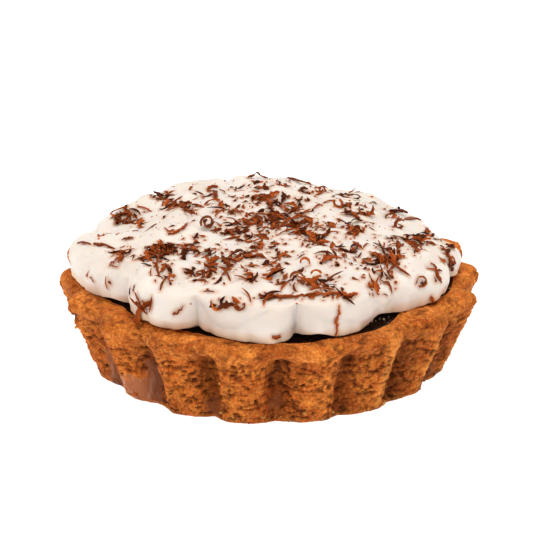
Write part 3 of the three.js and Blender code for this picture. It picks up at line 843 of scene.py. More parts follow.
def makeCreamBody():
    azimuth = np.arange(cream["columns"]) * 360 / cream["columns"]
    angle = np.radians(azimuth)
    rimTop = cream["rimTop"]
    reach, filled = lobeReach(azimuth, 1.0), lobeReach(azimuth, cream["creaseFill"])
    shellInner = crust["rimInner"] + innerWave(azimuth) - crust["innerLipRound"]
    plug = np.minimum(shellInner, reach - cream["overhang"])
    waves = [share * np.sin(count * angle + shift) for count, shift, share in cream["ruffleWaves"]]
    ruffle = cream["ruffle"] * sum(waves)
    lift, sink = bumps(azimuth, cream["footLifts"]), bumps(azimuth, cream["edgeSinks"])
    foot = cream["rimRest"] + lift + 0.5 * np.maximum(ruffle, 0)
    plug = plug - cream["plugDraw"] * lift
    outline = [(plug, cream["underside"]), (plug, foot), (reach - cream["footInset"] + ruffle, foot)]
    square = ramp(azimuth, *cream["frontFrom"]) + 1 - ramp(azimuth, *cream["frontTo"])
    for plain, front in zip(cream["section"], cream["frontSection"]):
        height, inset, fill = [mix(a, b, square) for a, b in zip(plain, front)]
        level = height + lift * np.maximum(0, 1 - (height - rimTop) / cream["liftFade"])
        level = level - sink * (height - rimTop) / cream["sinkFull"]
        ruffled = ruffle * (1 - ramp(height, rimTop, cream["ruffleTop"]))
        outline.append((mix(reach, filled, fill) - inset + ruffled, level))
    shoulder = outline[-1][0]
    rows = [onAzimuth(azimuth, radius, height) for radius, height in outline]
    shares = np.linspace(cream["shoulder"], 0, cream["topRings"])
    rows.append(onTopOfCream(azimuth, shares[0] * shoulder))
    rings = rows[:2] + smoothRows(rows[2:], cream["sideSteps"])
    rings += [onTopOfCream(azimuth, share * shoulder) for share in shares[1:-1]]
    return ringSolid("cream_body", rings, (0, 0, float(creamHeight(0.0, 0.0))), (0, 0, cream["underside"]))


creamRelief = {  # size, depth and detail
    "Fold": (10.0, 4.2, 0.0), "Lump": (5.0, 1.3, 1.0), "Ripple": (1.9, 0.24, 1.0),
}


def foldCream(obj):  # soft folds of the spoon
    values = {name + " depth": depth * mm for name, (size, depth, detail) in creamRelief.items()}
    values["Seed"] = cream["seed"]
    tree, given = newTree("spooned folds", values)
    position = add(tree, "GeometryNodeInputPosition")
    bent = add(tree, "TexNoise", position, 1 / (cream["bendSize"] * mm), 0.0, out="Color")
    bent = add(tree, "VectorMath", bent, cream["bend"] * mm, operation="SCALE")
    bent = add(tree, "VectorMath", bent, position, operation="ADD")
    parts = []
    for name, (size, depth, detail) in creamRelief.items():
        value = add(tree, "TexNoise", bent, given["Seed"], 1 / (size * mm), detail, noise_dimensions="4D")
        value = add(tree, "Math", value, 0.5, operation="SUBTRACT")
        if name == "Fold":  # creased valleys between rounded folds
            value = add(tree, "Math", value, operation="ABSOLUTE")
            value = add(tree, "Math", value, 0.1, operation="SUBTRACT")
        parts.append(add(tree, "Math", value, given[name + " depth"], operation="MULTIPLY"))
    offset = parts[0]
    for part in parts[1:]:
        offset = add(tree, "Math", offset, part, operation="ADD")
    low, high = cream["freeHeights"]
    free = add(tree, "MapRange", add(tree, "SeparateXYZ", position, out="Z"), low * mm, high * mm)
    offset = add(tree, "Math", offset, free, operation="MULTIPLY")
    push = add(tree, "VectorMath", add(tree, "GeometryNodeInputNormal"), offset, operation="SCALE")
    moved = add(tree, "GeometryNodeSetPosition", given["Geometry"], {"Offset": push})
    return finishMesh(applyTree(obj, tree, moved, values))


def whippedCream():  # whipped cream: warm white, light scatters inside, a faint wet sheen; tan at the foot and near the chocolate, partly stain and dust, partly painted warm shade
    material = newMaterial("whipped cream")
    tree = material.node_tree
    spot = add(tree, "TexCoord", out="Object")
    cloud, pore = [add(tree, "TexNoise", spot, 1 / (size * mm), 2.0) for size in (11, 0.7)]
    cloud = add(tree, "MapRange", cloud, 0.35, 0.65)
    # tan at the foot: partly a toffee stain, partly painted warm shade and bounce light from the crust
    warmFootShade = add(tree, "MapRange", add(tree, "SeparateXYZ", spot, out="Z"), 24.2 * mm, 21.2 * mm, 0.0, 0.75)
    # near the chocolate: chocolate dust and painted warm shade
    dustAndShade = add(tree, "Attribute", out="Fac", attribute_name="dustAndShade")
    dustAndShade = add(tree, "Math", dustAndShade, 0.42, operation="MULTIPLY")
    colour = linear("#DCD4CD")
    for share, code in ((cloud, "#E4DED8"), (warmFootShade, "#DAAE7C"), (dustAndShade, "#CC8C58")):
        colour = add(tree, "Mix", share, colour, linear(code), data_type="RGBA")
    return finishMaterial(material, {
        "Base Color": colour, "Roughness": add(tree, "MapRange", pore, 0.0, 1.0, 0.42, 0.62),
        "Normal": add(tree, "Bump", {"Height": pore, "Strength": 0.12, "Distance": 0.1 * mm}),
        "Subsurface Weight": 0.8, "Subsurface Radius": (1.0, 0.72, 0.5), "Subsurface Scale": 2.0 * mm,
        "IOR": 1.38})


creamPiece = foldCream(makeCreamBody())
creamPiece.data.materials.append(whippedCream())
print("cream:", triangleCount(creamPiece), "triangles")


# Chocolate shavings

def surfaceOf(*objects):  # one search tree over several finished meshes
    points, faces = [], []
    for obj in objects:
        start = len(points)
        points += [v.co.copy() for v in obj.data.vertices]
        faces += [[start + i for i in p.vertices] for p in obj.data.polygons]
    return BVHTree.FromPolygons(points, faces)


tartSurface = surfaceOf(creamPiece, crustPiece, fillingPiece)
creamSurface = surfaceOf(creamPiece)

shavingForms = {  # length, width, thickness, bend up, bend aside, twist, sideways drift: mm and degrees
    "thread": [(4.4, 0.52, 0.24, -20, 45, 60, 0), (6.2, 0.5, 0.24, -25, 35, 80, 0),
               (3.6, 0.52, 0.24, 15, 95, 40, 0), (5.0, 0.5, 0.24, -40, -45, 80, 0),
               (2.6, 0.5, 0.22, -15, 60, 0, 0)],
    "ribbon": [(4.2, 1.1, 0.2, -55, 30, 90, 0), (5.2, 1.0, 0.2, -80, 40, 120, 0.4),
               (3.6, 1.25, 0.2, -50, 25, 90, 0), (3.8, 0.95, 0.2, 45, 50, 110, 0),
               (4.6, 0.9, 0.2, -60, -60, 140, 0)],
    "sliver": [(2.4, 0.9, 0.2, -40, 30, 70, 0), (3.0, 0.8, 0.2, 35, 40, 90, 0),
               (1.9, 1.0, 0.2, -30, 30, 60, 0), (2.7, 0.75, 0.2, -50, -40, 80, 0),
               (2.2, 0.8, 0.2, -20, 110, 40, 0)],
    "curl": [(5.2, 1.0, 0.24, 20, 230, 80, 0), (5.0, 1.4, 0.24, -230, 20, 40, 0.9),
             (6.0, 1.3, 0.24, -300, 0, 40, 1.4)],
    "flake": [(2.2, 1.5, 0.22, -60, 30, 80, 0), (3.0, 1.7, 0.22, -90, 40, 100, 0)],
}
shavingSteps = {"thread": 8, "ribbon": 10, "sliver": 6, "curl": 14, "flake": 6}
shavingRaggedness = {"thread": 0.5, "ribbon": 0.5, "sliver": 0.55, "curl": 0.35, "flake": 0.5}
shavingSeed = 11


def shavingMesh(name, kind, form, chance):  # a ribbon, bent and twisted along its length, with ragged ends
    length, width, thickness, bendUp, bendAside, twist, drift = form
    steps, raggedness = shavingSteps[kind], shavingRaggedness[kind]
    place = np.zeros(3)
    points, sideLight = [], []
    for i in range(steps + 1):
        share = i / steps
        heading, level, roll = [math.radians(bend) * (share - 0.5) for bend in (bendAside, bendUp, twist)]
        flat = math.cos(level)
        along = np.array([flat * math.cos(heading), flat * math.sin(heading), math.sin(level)])
        if i:
            place = place + along * (length / steps) + np.array([0, drift / steps, 0])
        side = np.array([-math.sin(heading), math.cos(heading), 0])
        across = side * math.cos(roll) + np.cross(along, side) * math.sin(roll)
        over = np.cross(along, across)
        taper = (1 - abs(2 * share - 1) ** 2.2) * 0.92 + 0.08  # narrow ends
        halves = {way: 0.5 * width * taper * (1 + raggedness * chance.uniform(-1, 1)) for way in (-1, 1)}
        thick = 0.5 * thickness * (0.55 + 0.45 * taper)
        for sideways, upwards in tubeCorners:
            points.append(place + across * sideways * halves[sideways] + over * upwards * thick)
            litEdge = chance.uniform(0.7, 1) if sideways > 0 else chance.uniform(0, 0.3)  # one long side painted light, the other painted shade
            # the ends are painted light too
            sideLight.append(max(abs(2 * share - 1) ** 4, litEdge))
    points = np.array(points)
    points -= (points.min(0) + points.max(0)) / 2
    points[:, 2] -= points[:, 2].min() + 0.15  # a little sunk where it lies
    obj = newObject(name, points * mm, tubeFaces(0, steps))
    giveAttribute(obj.data, "edge", sideLight)
    finishMesh(obj)
    obj.data.shade_flat()  # crisp, as it is torn
    return obj


# heaps of shavings seen in the frame: middle, half width and half height in pixels, count, height in mm
shavingHeaps = {
    "leftRoll": (126, 216, 14, 7, 16, 0.5), "leftRollTail": (136, 223, 10, 3, 10, 0.3),
    "backLeftRibbons": (160, 197, 9, 3, 14, 0.6), "backLeftTangle": (179, 205, 10, 5, 24, 0.7),
    "besideTangle": (187, 213, 7, 4, 8, 0.3), "veePiece": (203, 206, 6, 4, 7, 0.6),
    "backShreds": (229, 210, 12, 5, 26, 0.6), "backShredsFront": (242, 221, 15, 6, 30, 0.6),
    "darkCrown": (266, 221, 20, 9, 74, 1.2), "darkCrownBack": (270, 203, 12, 6, 22, 0.8),
    "darkCrownRight": (290, 209, 18, 9, 50, 1.0), "middleBand": (290, 227, 24, 9, 74, 1.2),
    "middleRight": (316, 231, 16, 10, 50, 0.9), "middleFront": (240, 234, 10, 6, 28, 0.8),
    "loops": (260, 244, 18, 7, 30, 0.7), "sparseLeft": (219, 230, 7, 4, 7, 0.2),
    "denseRoll": (164, 252, 16, 9, 24, 0.5), "denseRollTail": (186, 249, 15, 7, 30, 0.6),
    "blobStrand": (197, 238, 8, 4, 7, 0.3), "chunk": (128, 239, 3, 2, 4, 0.4),
    "leftStar": (122, 253, 10, 5, 22, 0.8), "leftStarTail": (140, 257, 9, 3, 9, 0.2),
    "darkKnot": (159, 262, 6, 4, 14, 0.7), "frontCluster": (216, 265, 13, 14, 66, 1.4),
    "frontShreds": (200, 276, 12, 6, 22, 0.5), "frontThin": (169, 274, 11, 9, 16, 0.2),
    "midLoops": (250, 262, 17, 8, 28, 0.6), "midSpecks": (250, 278, 9, 4, 12, 0.2),
    "darkFlakes": (273, 272, 8, 7, 18, 0.7), "arcs": (290, 281, 13, 10, 22, 0.5),
    "tallArcs": (284, 256, 9, 9, 14, 0.4), "frontNest": (322, 287, 18, 9, 40, 0.9),
    "backRight": (318, 191, 15, 4, 14, 0.5), "backRightLoops": (338, 201, 9, 6, 12, 0.4),
    "knotRight": (349, 224, 10, 11, 34, 1.0), "besideKnot": (367, 227, 7, 3, 7, 0.2),
    "belowCrown": (313, 242, 10, 5, 22, 0.7), "thickStrands": (340, 253, 17, 11, 36, 0.7),
    "rightStar": (397, 213, 8, 6, 18, 0.8), "rightKnot": (421, 238, 13, 9, 42, 1.1),
    "rightFlakes": (415, 250, 6, 8, 12, 0.5), "rightNest": (390, 252, 15, 14, 60, 1.3),
    "rightFront": (377, 273, 20, 13, 60, 1.0), "edgeStrand": (448, 255, 7, 9, 14, 0.4),
    "edgeStrandFront": (436, 272, 4, 8, 6, 0.3), "lobeCurl": (421, 280, 5, 5, 3, 0.3),
    "frontLine": (262, 298, 17, 3, 18, 0.3), "frontLineRight": (325, 296, 22, 3, 22, 0.4),
    "moustache": (227, 304, 12, 4, 10, 0.4), "leftFront": (147, 305, 9, 5, 14, 0.6),
    "leftCross": (132, 291, 3, 3, 4, 0.2), "leftSpeck": (89, 278, 4, 4, 5, 0.2),
    "leftSpeckRight": (108, 282, 2, 3, 3, 0.2), "besideStar": (114, 263, 4, 3, 4, 0.2),
    "rightThin": (378, 294, 9, 2, 5, 0.2), "backBits": (229, 190, 7, 3, 6, 0.2),
    "backMiddle": (252, 197, 10, 6, 14, 0.4), "backPeak": (265, 186, 12, 4, 9, 0.3),
    "backCurl": (368, 207, 7, 7, 8, 0.4),
}
strandPaths = {  # strands seen whole: pixels along each, with a lift where it stands up, and width, in mm
    "leftLong": ([(78, 243.5), (84, 243.4), (91, 244.5)], 0.5),
    "leftLongRight": ([(93.5, 244.6), (99, 245.6), (105, 246), (114, 249.5)], 0.8),
    "risingStrand": ([(168, 235), (177, 233), (184, 228), (188, 223)], 0.6),
    "thinTop": ([(137, 206), (144, 209), (151, 212)], 0.45),
    "peak": ([(247, 178.5, 0.2), (253, 178.3, 0.5), (257, 178.5, 1.3), (261, 178.6, 0.5),
              (268, 179, 0.2)], 0.9),
    "standing": ([(270, 206, 0), (272, 204, 1.0), (274, 203, 2.2), (277, 204, 3.2)], 0.5),
    "standingBack": ([(318, 192, 0), (320, 191, 0.7), (323, 191.5, 1.0), (326, 193, 0.4)], 0.8),
    "standingRight": ([(349, 193, 0), (354, 193, 0.6), (355.5, 193, 1.4)], 0.5),
    "hook": ([(207, 191.5), (211, 188), (218, 187)], 0.7),
    "hookDown": ([(213, 191), (215.5, 195), (214.5, 200)], 0.9),
    "frontLineLeft": ([(263, 300.5), (275, 298), (288, 297.5), (300, 296.5)], 0.75),
    "frontLineRight": ([(303, 297), (322, 295), (337, 293.5), (346, 295.5), (352, 298.5)], 0.6),
    "lobeThread": ([(339, 305), (338.5, 313), (336, 321), (337, 328), (335.5, 336)], 0.42),
    "rightStraight": ([(404, 220), (413, 219), (421, 220.5)], 0.8),
    "edgeLong": ([(441, 246), (446, 253), (449, 259), (455, 264)], 0.8),
    "edgeFront": ([(431, 263), (435, 268), (437, 276), (441, 283)], 0.7),
    "frontCurve": ([(173, 314), (178, 312), (183, 306)], 0.5),
    "triangleTop": ([(421, 229), (426, 224), (431, 229)], 0.4),
    "hangingFlake": ([(142, 308), (139.5, 315), (137, 325)], 1.5),
    "lowFlake": ([(272, 337), (276, 336.4), (280, 337)], 0.8),
    "backGrey": ([(287, 178), (294, 178), (300, 181), (311, 185)], 0.9),
    "dripFlake": ([(431, 296), (432.5, 299), (433, 303)], 0.7),
    "wallBit": ([(107, 370), (109, 376)], 0.6),
    "footBit": ([(135, 391), (137, 396)], 0.7),
}
standingCurls = {  # foot in pixels, outer and inner radius, start and sweep in degrees, width, turn aside
    "spiral": ((207.5, 228), 1.7, 0.6, 205, -470, 1.3, 14),
    "smallCee": ((142.5, 227.5), 1.0, 0.8, 60, 240, 0.8, -20),
    "cup": ((367, 215), 2.0, 1.5, 165, 215, 1.2, 15),
    "ring": ((399.5, 228), 1.25, 1.0, 30, 300, 0.9, 25),
    "frontCee": ((421, 286), 1.3, 1.0, 110, -300, 0.8, 15),
    "hook": ((304.5, 266), 1.15, 0.9, -20, 215, 0.6, 0),
    "backLoop": ((338.5, 207), 1.3, 0.9, 150, 290, 0.8, -30),
    "leftLoop": ((172, 281), 0.9, 0.7, 20, 280, 0.5, 20),
    "midLoop": ((283, 262), 1.2, 0.9, 10, 200, 0.7, 30),
    "nestArc": ((316, 281), 1.5, 1.2, 30, 130, 0.7, -20),
    "frontArc": ((296, 284), 1.6, 1.3, 20, 150, 0.8, 10),
    "veeCurl": ((240, 309), 1.3, 1.0, 180, 200, 0.9, 0),
    "moustacheCurl": ((218, 309), 1.3, 1.1, 170, 190, 1.0, 10),
    "leftHook": ((101, 236), 0.8, 0.6, 190, 170, 0.6, 0),
}
tightRolls = {  # middle in pixels, half length, depth and height in mm, turn to the side, count
    "denseRoll": ((162, 252), 3.3, 2.5, 1.8, -8, 130), "leftRoll": ((126, 219), 2.7, 1.9, 1.8, 25, 80),
}
strewn = {
    "lift": 0.75,  # share of a heap's height by which a piece is lifted at most
    "lean": (12, 34),  # degrees at most when flat, and more on a heap
    "toneCurve": 1.35,  # most are dark
    "heapShare": 0.9,  # share of each heap's count that lies there
    "wholeShare": 0.55,  # whole shavings among them, the others are broken bits round the heap
    "reach": (1.2, 1.55),  # of whole shavings and of bits, in half widths
    "gather": 0.6,  # 0.5 spreads them evenly, more gathers them in the middle
    "kinds": {"thread": 0.3, "ribbon": 0.22, "sliver": 0.38, "curl": 0.02, "flake": 0.08},
    "sizes": {"thread": 0.64, "ribbon": 0.64, "sliver": 0.64, "curl": 0.4, "flake": 0.4},
    "sizeCurve": 1.3,
    "bitSizes": (0.22, 0.5),
    "bitHeap": 0.3,  # bits lie low, and none is dark
    "bitDarkest": 0.4,
    "fewBelow": 8,  # a heap of fewer has smaller shavings
    "fewSize": 0.6,
    "curlsBelow": 205,  # pixel row, above which there are none
    "rollKinds": {"sliver": 0.5, "flake": 0.25, "thread": 0.25},
    "rollSizes": (0.35, 0.6),
    "loose": {"thread": 60, "sliver": 45},  # over the rest of the cream
    "looseRadius": 41,
    "looseSizes": (0.35, 0.8),
    "far": 190,  # the far side is strewn like the near one
    "farRadius": 34,
    "farFrom": 12,
    "farSizes": (0.5, 1.0),
    "dropHeight": 60,
}
fullTurn = 2 * math.pi


def below(spot):  # point and normal of the cream under a spot
    return creamSurface.ray_cast(Vector(spot), Vector((0, 0, -1)))[:2]


def lieOn(normal, spin, lean, leanWay):  # how a piece that lies on the cream is turned
    upright = Vector((0, 0, 1)).rotation_difference(normal)
    turned = Quaternion((0, 0, 1), spin)
    tipped = Quaternion((math.cos(leanWay), math.sin(leanWay), 0), lean)
    return (upright @ tipped @ turned).to_euler()


def strewShavings(chance):  # a point for each shaving: place, turn, size, form and tone
    kinds = [kind for kind, rows in shavingForms.items() for _ in rows]
    byKind = {kind: [n for n, k in enumerate(kinds) if k == kind] for kind in shavingForms}
    rows = []

    def drop(point, normal, kind, heap, size, darkest=0.0):
        lift = strewn["lift"] * heap * chance.uniform(0, 1)
        flat, more = strewn["lean"]
        lean = math.radians(flat + more * min(1, heap)) * chance.uniform(-1, 1)
        turn = lieOn(normal, chance.uniform(0, fullTurn), lean, chance.uniform(0, fullTurn))
        tone = mix(darkest, 1.0, chance.uniform(0, 1) ** strewn["toneCurve"])
        rows.append((*(point + normal * lift * mm), *turn, size, chance.choice(byKind[kind]), tone))

    for middleX, middleY, halfX, halfY, count, heap in shavingHeaps.values():
        for i in range(int(strewn["heapShare"] * count)):
            bit = i >= strewn["wholeShare"] * count
            way = chance.uniform(0, fullTurn)
            out = strewn["reach"][bit] * chance.uniform(0, 1) ** strewn["gather"]
            point, normal = seenAt(
                creamSurface, middleX + halfX * out * math.cos(way), middleY + halfY * out * math.sin(way))
            if point is None:
                continue
            if bit:
                kind = chance.choice(["sliver", "flake"])
                size = chance.uniform(*strewn["bitSizes"])
                drop(point, normal, kind, strewn["bitHeap"] * heap, size, strewn["bitDarkest"])
                continue
            kind = chance.choice(list(strewn["kinds"]), p=list(strewn["kinds"].values()))
            size = strewn["sizes"][kind] * (1 + chance.uniform(0, 1) ** strewn["sizeCurve"])
            size = size * (strewn["fewSize"] if count < strewn["fewBelow"] else 1)
            if kind == "curl" and middleY < strewn["curlsBelow"]:
                kind = "sliver"
            drop(point, normal, kind, heap * max(0, 1 - 0.6 * out), size)
    for (px, py), length, depth, height, yaw, count in tightRolls.values():
        foot = seenAt(creamSurface, px, py)[0]
        turn = Quaternion((0, 0, 1), math.radians(yaw))
        for _ in range(count):
            way = Vector(chance.normal(size=3)).normalized()
            way.z = abs(way.z)
            spot = Vector((way.x * length, way.y * depth, way.z * height - 0.2))
            spot = spot * mm * (1 - 0.35 * chance.uniform(0, 1) ** 3)
            outward = Vector((way.x / length, way.y / depth, way.z / height)).normalized()
            kind = chance.choice(list(strewn["rollKinds"]), p=list(strewn["rollKinds"].values()))
            drop(foot + turn @ spot, turn @ outward, kind, 0.3, chance.uniform(*strewn["rollSizes"]))
    for kind, count in strewn["loose"].items():
        for _ in range(count):
            azimuth, out = chance.uniform(-180, 180), math.sqrt(chance.uniform(0, 1))
            point, normal = below(onAzimuth(azimuth, strewn["looseRadius"] * out, strewn["dropHeight"]) * mm)
            if point is not None:
                drop(point, normal, kind, 0.1, chance.uniform(*strewn["looseSizes"]))
    for _ in range(strewn["far"]):
        azimuth, out = chance.uniform(-180, 180), chance.uniform(0, 1) ** 0.7
        spot = onAzimuth(azimuth, strewn["farRadius"] * out, strewn["dropHeight"]) * mm
        if spot[1] < strewn["farFrom"] * mm:
            continue
        point, normal = below(spot)
        if point is not None:
            kind = chance.choice(["thread", "ribbon", "sliver"])
            drop(point, normal, kind, 0.5, chance.uniform(*strewn["farSizes"]))
    return np.array(rows, float)


def makeShavings(material):
    chance = np.random.default_rng(shavingSeed)
    rack = newRack("shaving forms")
    for kind, rows in shavingForms.items():
        for form in rows:
            piece = shavingMesh(f"shaving.{len(rack.objects):02d}", kind, form, chance)
            scene.collection.objects.unlink(piece)
            rack.objects.link(piece)
    rows = strewShavings(chance)
    obj = newObject("chocolate_shavings", rows[:, 0:3])
    giveAttribute(obj.data, "turn", rows[:, 3:6])
    for name, column in (("size", 6), ("form", 7), ("tone", 8)):
        giveAttribute(obj.data, name, rows[:, column])
    values = {"Forms": rack, "Chocolate": material}
    tree, given = newTree("strewn shavings", values)
    forms = add(tree, "GeometryNodeCollectionInfo", given["Forms"], True, True)
    turn, size, form = [
        add(tree, "GeometryNodeInputNamedAttribute", name, data_type=kind)
        for name, kind in (("turn", "FLOAT_VECTOR"), ("size", "FLOAT"), ("form", "FLOAT"))]
    placed = add(tree, "GeometryNodeInstanceOnPoints", given["Geometry"], {
        "Instance": forms, "Pick Instance": True, "Instance Index": form, "Rotation": turn, "Scale": size})
    real = add(tree, "GeometryNodeRealizeInstances", placed)
    dressed = add(tree, "GeometryNodeSetMaterial", real, {"Material": given["Chocolate"]})
    applyTree(obj, tree, dressed, values)
    dropRack(rack)
    return obj


strand = {
    "ragged": 0.7,  # share by which its width varies
    "wander": 0.22,
    "rise": 0.16,  # above the cream, and the arch more in the middle
    "arch": 0.2,
    "halfThick": 0.14,
}
curl = {
    "sunk": 0.25,  # into the cream
    "stepAngle": 24,
    "leastSteps": 6,
    "halfWidth": 0.55,
    "ragged": 0.3,
    "halfThick": 0.18,
    "uneven": 0.4,  # share by which its thickness varies
}


def makeStrands(material):  # ribbons that follow the cream along their pixels, and curls that stand on it
    points, faces, sideLight, tones = [], [], [], []
    chance = np.random.default_rng(shavingSeed + 1)
    for path, width in strandPaths.values():
        hits = []
        for px, py, *lift in path:
            point, normal = seenAt(tartSurface, px, py)
            if point is not None:
                hits.append((np.array(point) + np.array((0, 0, sum(lift) * mm)), np.array(normal)))
        if len(hits) < 2:
            continue
        places, normals = [smoothRows(rows, 4) for rows in zip(*hits)]
        start, tone, last = len(points), chance.uniform(0.3, 1), len(places) - 1
        for i, (place, normal) in enumerate(zip(places, normals)):
            share = i / last
            along = places[min(i + 1, last)] - places[max(i - 1, 0)]
            along /= np.linalg.norm(along)
            normal = normal / np.linalg.norm(normal)
            across = np.cross(normal, along)
            taper = 0.25 + 0.75 * (1 - abs(2 * share - 1) ** 3)
            half = 0.5 * width * mm * taper * (1 + strand["ragged"] * chance.uniform(-1, 1))
            place = place + across * strand["wander"] * mm * chance.uniform(-1, 1)
            rise = (strand["rise"] + strand["arch"] * math.sin(math.pi * share)) * mm
            for sideways, upwards in tubeCorners:
                up = rise + upwards * strand["halfThick"] * mm
                points.append(place + across * sideways * half + normal * up)
                # painted light on one side, painted shade on the other
                sideLight.append(0.8 if sideways > 0 else 0.4)
                tones.append(tone)
        faces += tubeFaces(start, last)
    for (px, py), outer, inner, first, sweep, width, yaw in standingCurls.values():
        foot = np.array(seenAt(creamSurface, px, py)[0]) - np.array((0, 0, curl["sunk"] * mm))
        yaw = math.radians(yaw)
        facing = np.array((math.sin(yaw), -math.cos(yaw), 0))
        sideward = np.array((math.cos(yaw), math.sin(yaw), 0))
        steps = max(curl["leastSteps"], int(abs(sweep) / curl["stepAngle"]))
        start, tone = len(points), chance.uniform(0.2, 1)
        for i in range(steps + 1):
            share = i / steps
            angle = math.radians(first + sweep * share)
            out = sideward * math.cos(angle) + np.array((0, 0, math.sin(angle)))
            taper = 0.35 + 0.65 * (1 - abs(2 * share - 1) ** 4)
            half = curl["halfWidth"] * width * taper * (1 + curl["ragged"] * chance.uniform(-1, 1))
            thick = curl["halfThick"] * (1 + curl["uneven"] * chance.uniform(-1, 1))
            for sideways, outwards in tubeCorners:
                spot = out * (mix(outer, inner, share) + thick * outwards) + facing * sideways * half
                points.append(foot + (spot + np.array((0, 0, outer))) * mm)
                # painted light on one side, painted shade on the other
                sideLight.append(0.9 if sideways > 0 else 0.3)
                tones.append(tone)
        faces += tubeFaces(start, steps)
    obj = newObject("chocolate_strands", points, faces)
    giveAttribute(obj.data, "edge", sideLight)
    giveAttribute(obj.data, "tone", tones)
    obj.data.materials.append(material)
    finishMesh(obj)
    obj.data.shade_flat()
    return obj


def chocolate():  # grated milk chocolate: satin brown; its torn thin edges and one side of each piece are painted lighter, painted light, and the other side darker, painted shade
    material = newMaterial("grated milk chocolate")
    tree = material.node_tree
    edge, tone = [add(tree, "Attribute", out="Fac", attribute_name=name) for name in ("edge", "tone")]
    cloud = add(tree, "TexNoise", add(tree, "TexCoord", out="Object"), 1 / (0.8 * mm), 2.0)
    # painted shade on the shaded side of each piece, painted light on its lit side and ends
    shadedEdge = add(tree, "MapRange", edge, 0.0, 0.5, 0.5, 0.0)
    litEdge = add(tree, "MapRange", edge, 0.6, 1.0, 0.0, 0.95)
    litEdge = add(tree, "Math", litEdge, tone, operation="MULTIPLY")
    colour = linear("#2C0A03")
    for share, code in ((tone, "#A24A1E"), (shadedEdge, "#340D04"), (litEdge, "#D0702A")):
        colour = add(tree, "Mix", share, colour, linear(code), data_type="RGBA")
    return finishMaterial(material, {
        "Base Color": colour, "Roughness": 0.45,
        "Normal": add(tree, "Bump", {"Height": cloud, "Strength": 0.3, "Distance": 0.15 * mm}),
        "IOR": 1.46, "Specular IOR Level": 0.1, "Specular Tint": linear("#FFB894"),
        "Subsurface Weight": 0.1, "Subsurface Radius": (1.0, 0.35, 0.12), "Subsurface Scale": 0.5 * mm})


milkChocolate = chocolate()
shavingsPiece = makeShavings(milkChocolate)
strandsPiece = makeStrands(milkChocolate)
# the cream is tinted close to the chocolate: chocolate dust, and painted warm shade from the shavings
chocolateTree = KDTree(len(shavingsPiece.data.vertices) + len(strandsPiece.data.vertices))
for index, vertex in enumerate([*shavingsPiece.data.vertices, *strandsPiece.data.vertices]):
    chocolateTree.insert(vertex.co, index)
chocolateTree.balance()
fromChocolate = np.array([chocolateTree.find(vertex.co)[2] for vertex in creamPiece.data.vertices])
giveAttribute(creamPiece.data, "dustAndShade", 1 - ramp(fromChocolate / mm, 0.3, 0.85))
print("shavings:", triangleCount(shavingsPiece), "strands:", triangleCount(strandsPiece), "triangles")


# Crumbs

crumbs = {
    "chocolatePerSquare": 6.0e4,  # crumbs on a square metre of cream
    "chocolateSize": (0.35, 0.9),
    "chocolateDarkest": 0.5,
    "pastryPerSquare": 1.1e5,
    "pastrySize": (0.3, 0.95),
    "pastryDarkest": 0.0,
    "forms": 5,
    "topHeights": (27.5, 29.5),  # between these the cream's top begins
    "topRadii": (30, 43),  # and between these they get fewer outwards
    "topFewer": 0.75,
    "sideFrom": 23,
    "sideShare": 0.05,
    "wallFrom": (38, 0.3),  # radius and height
    "footHeights": (0.5, 2.2),  # most pastry crumbs are at the foot
    "footShare": 4.5,
    "wallShare": 0.3,
    "rimHeights": (15, 18),  # and few near the rim
    "rimFewer": 0.8,
    "pressedFewer": 0.95,
    "seed": 23,
}


def crumbForms(name, chance):  # a few broken lumps
    rack = newRack(name)
    for i in range(crumbs["forms"]):
        mesh = bpy.data.meshes.new(f"{name}.{i}")
        work = bmesh.new()
        bmesh.ops.create_icosphere(work, subdivisions=1, radius=0.5 * mm)
        for vert in work.verts:
            vert.co *= chance.uniform(0.6, 1.25)
        flatter = (1.0, chance.uniform(0.6, 1.0), chance.uniform(0.5, 0.9))
        bmesh.ops.scale(work, vec=flatter, verts=work.verts)
        work.to_mesh(mesh)
        work.free()
        # chocolate crumbs take the lit-edge colour all over: painted light
        giveAttribute(mesh, "edge", np.full(len(mesh.vertices), 0.9))
        rack.objects.link(bpy.data.objects.new(f"{name}.{i}", mesh))
    return rack


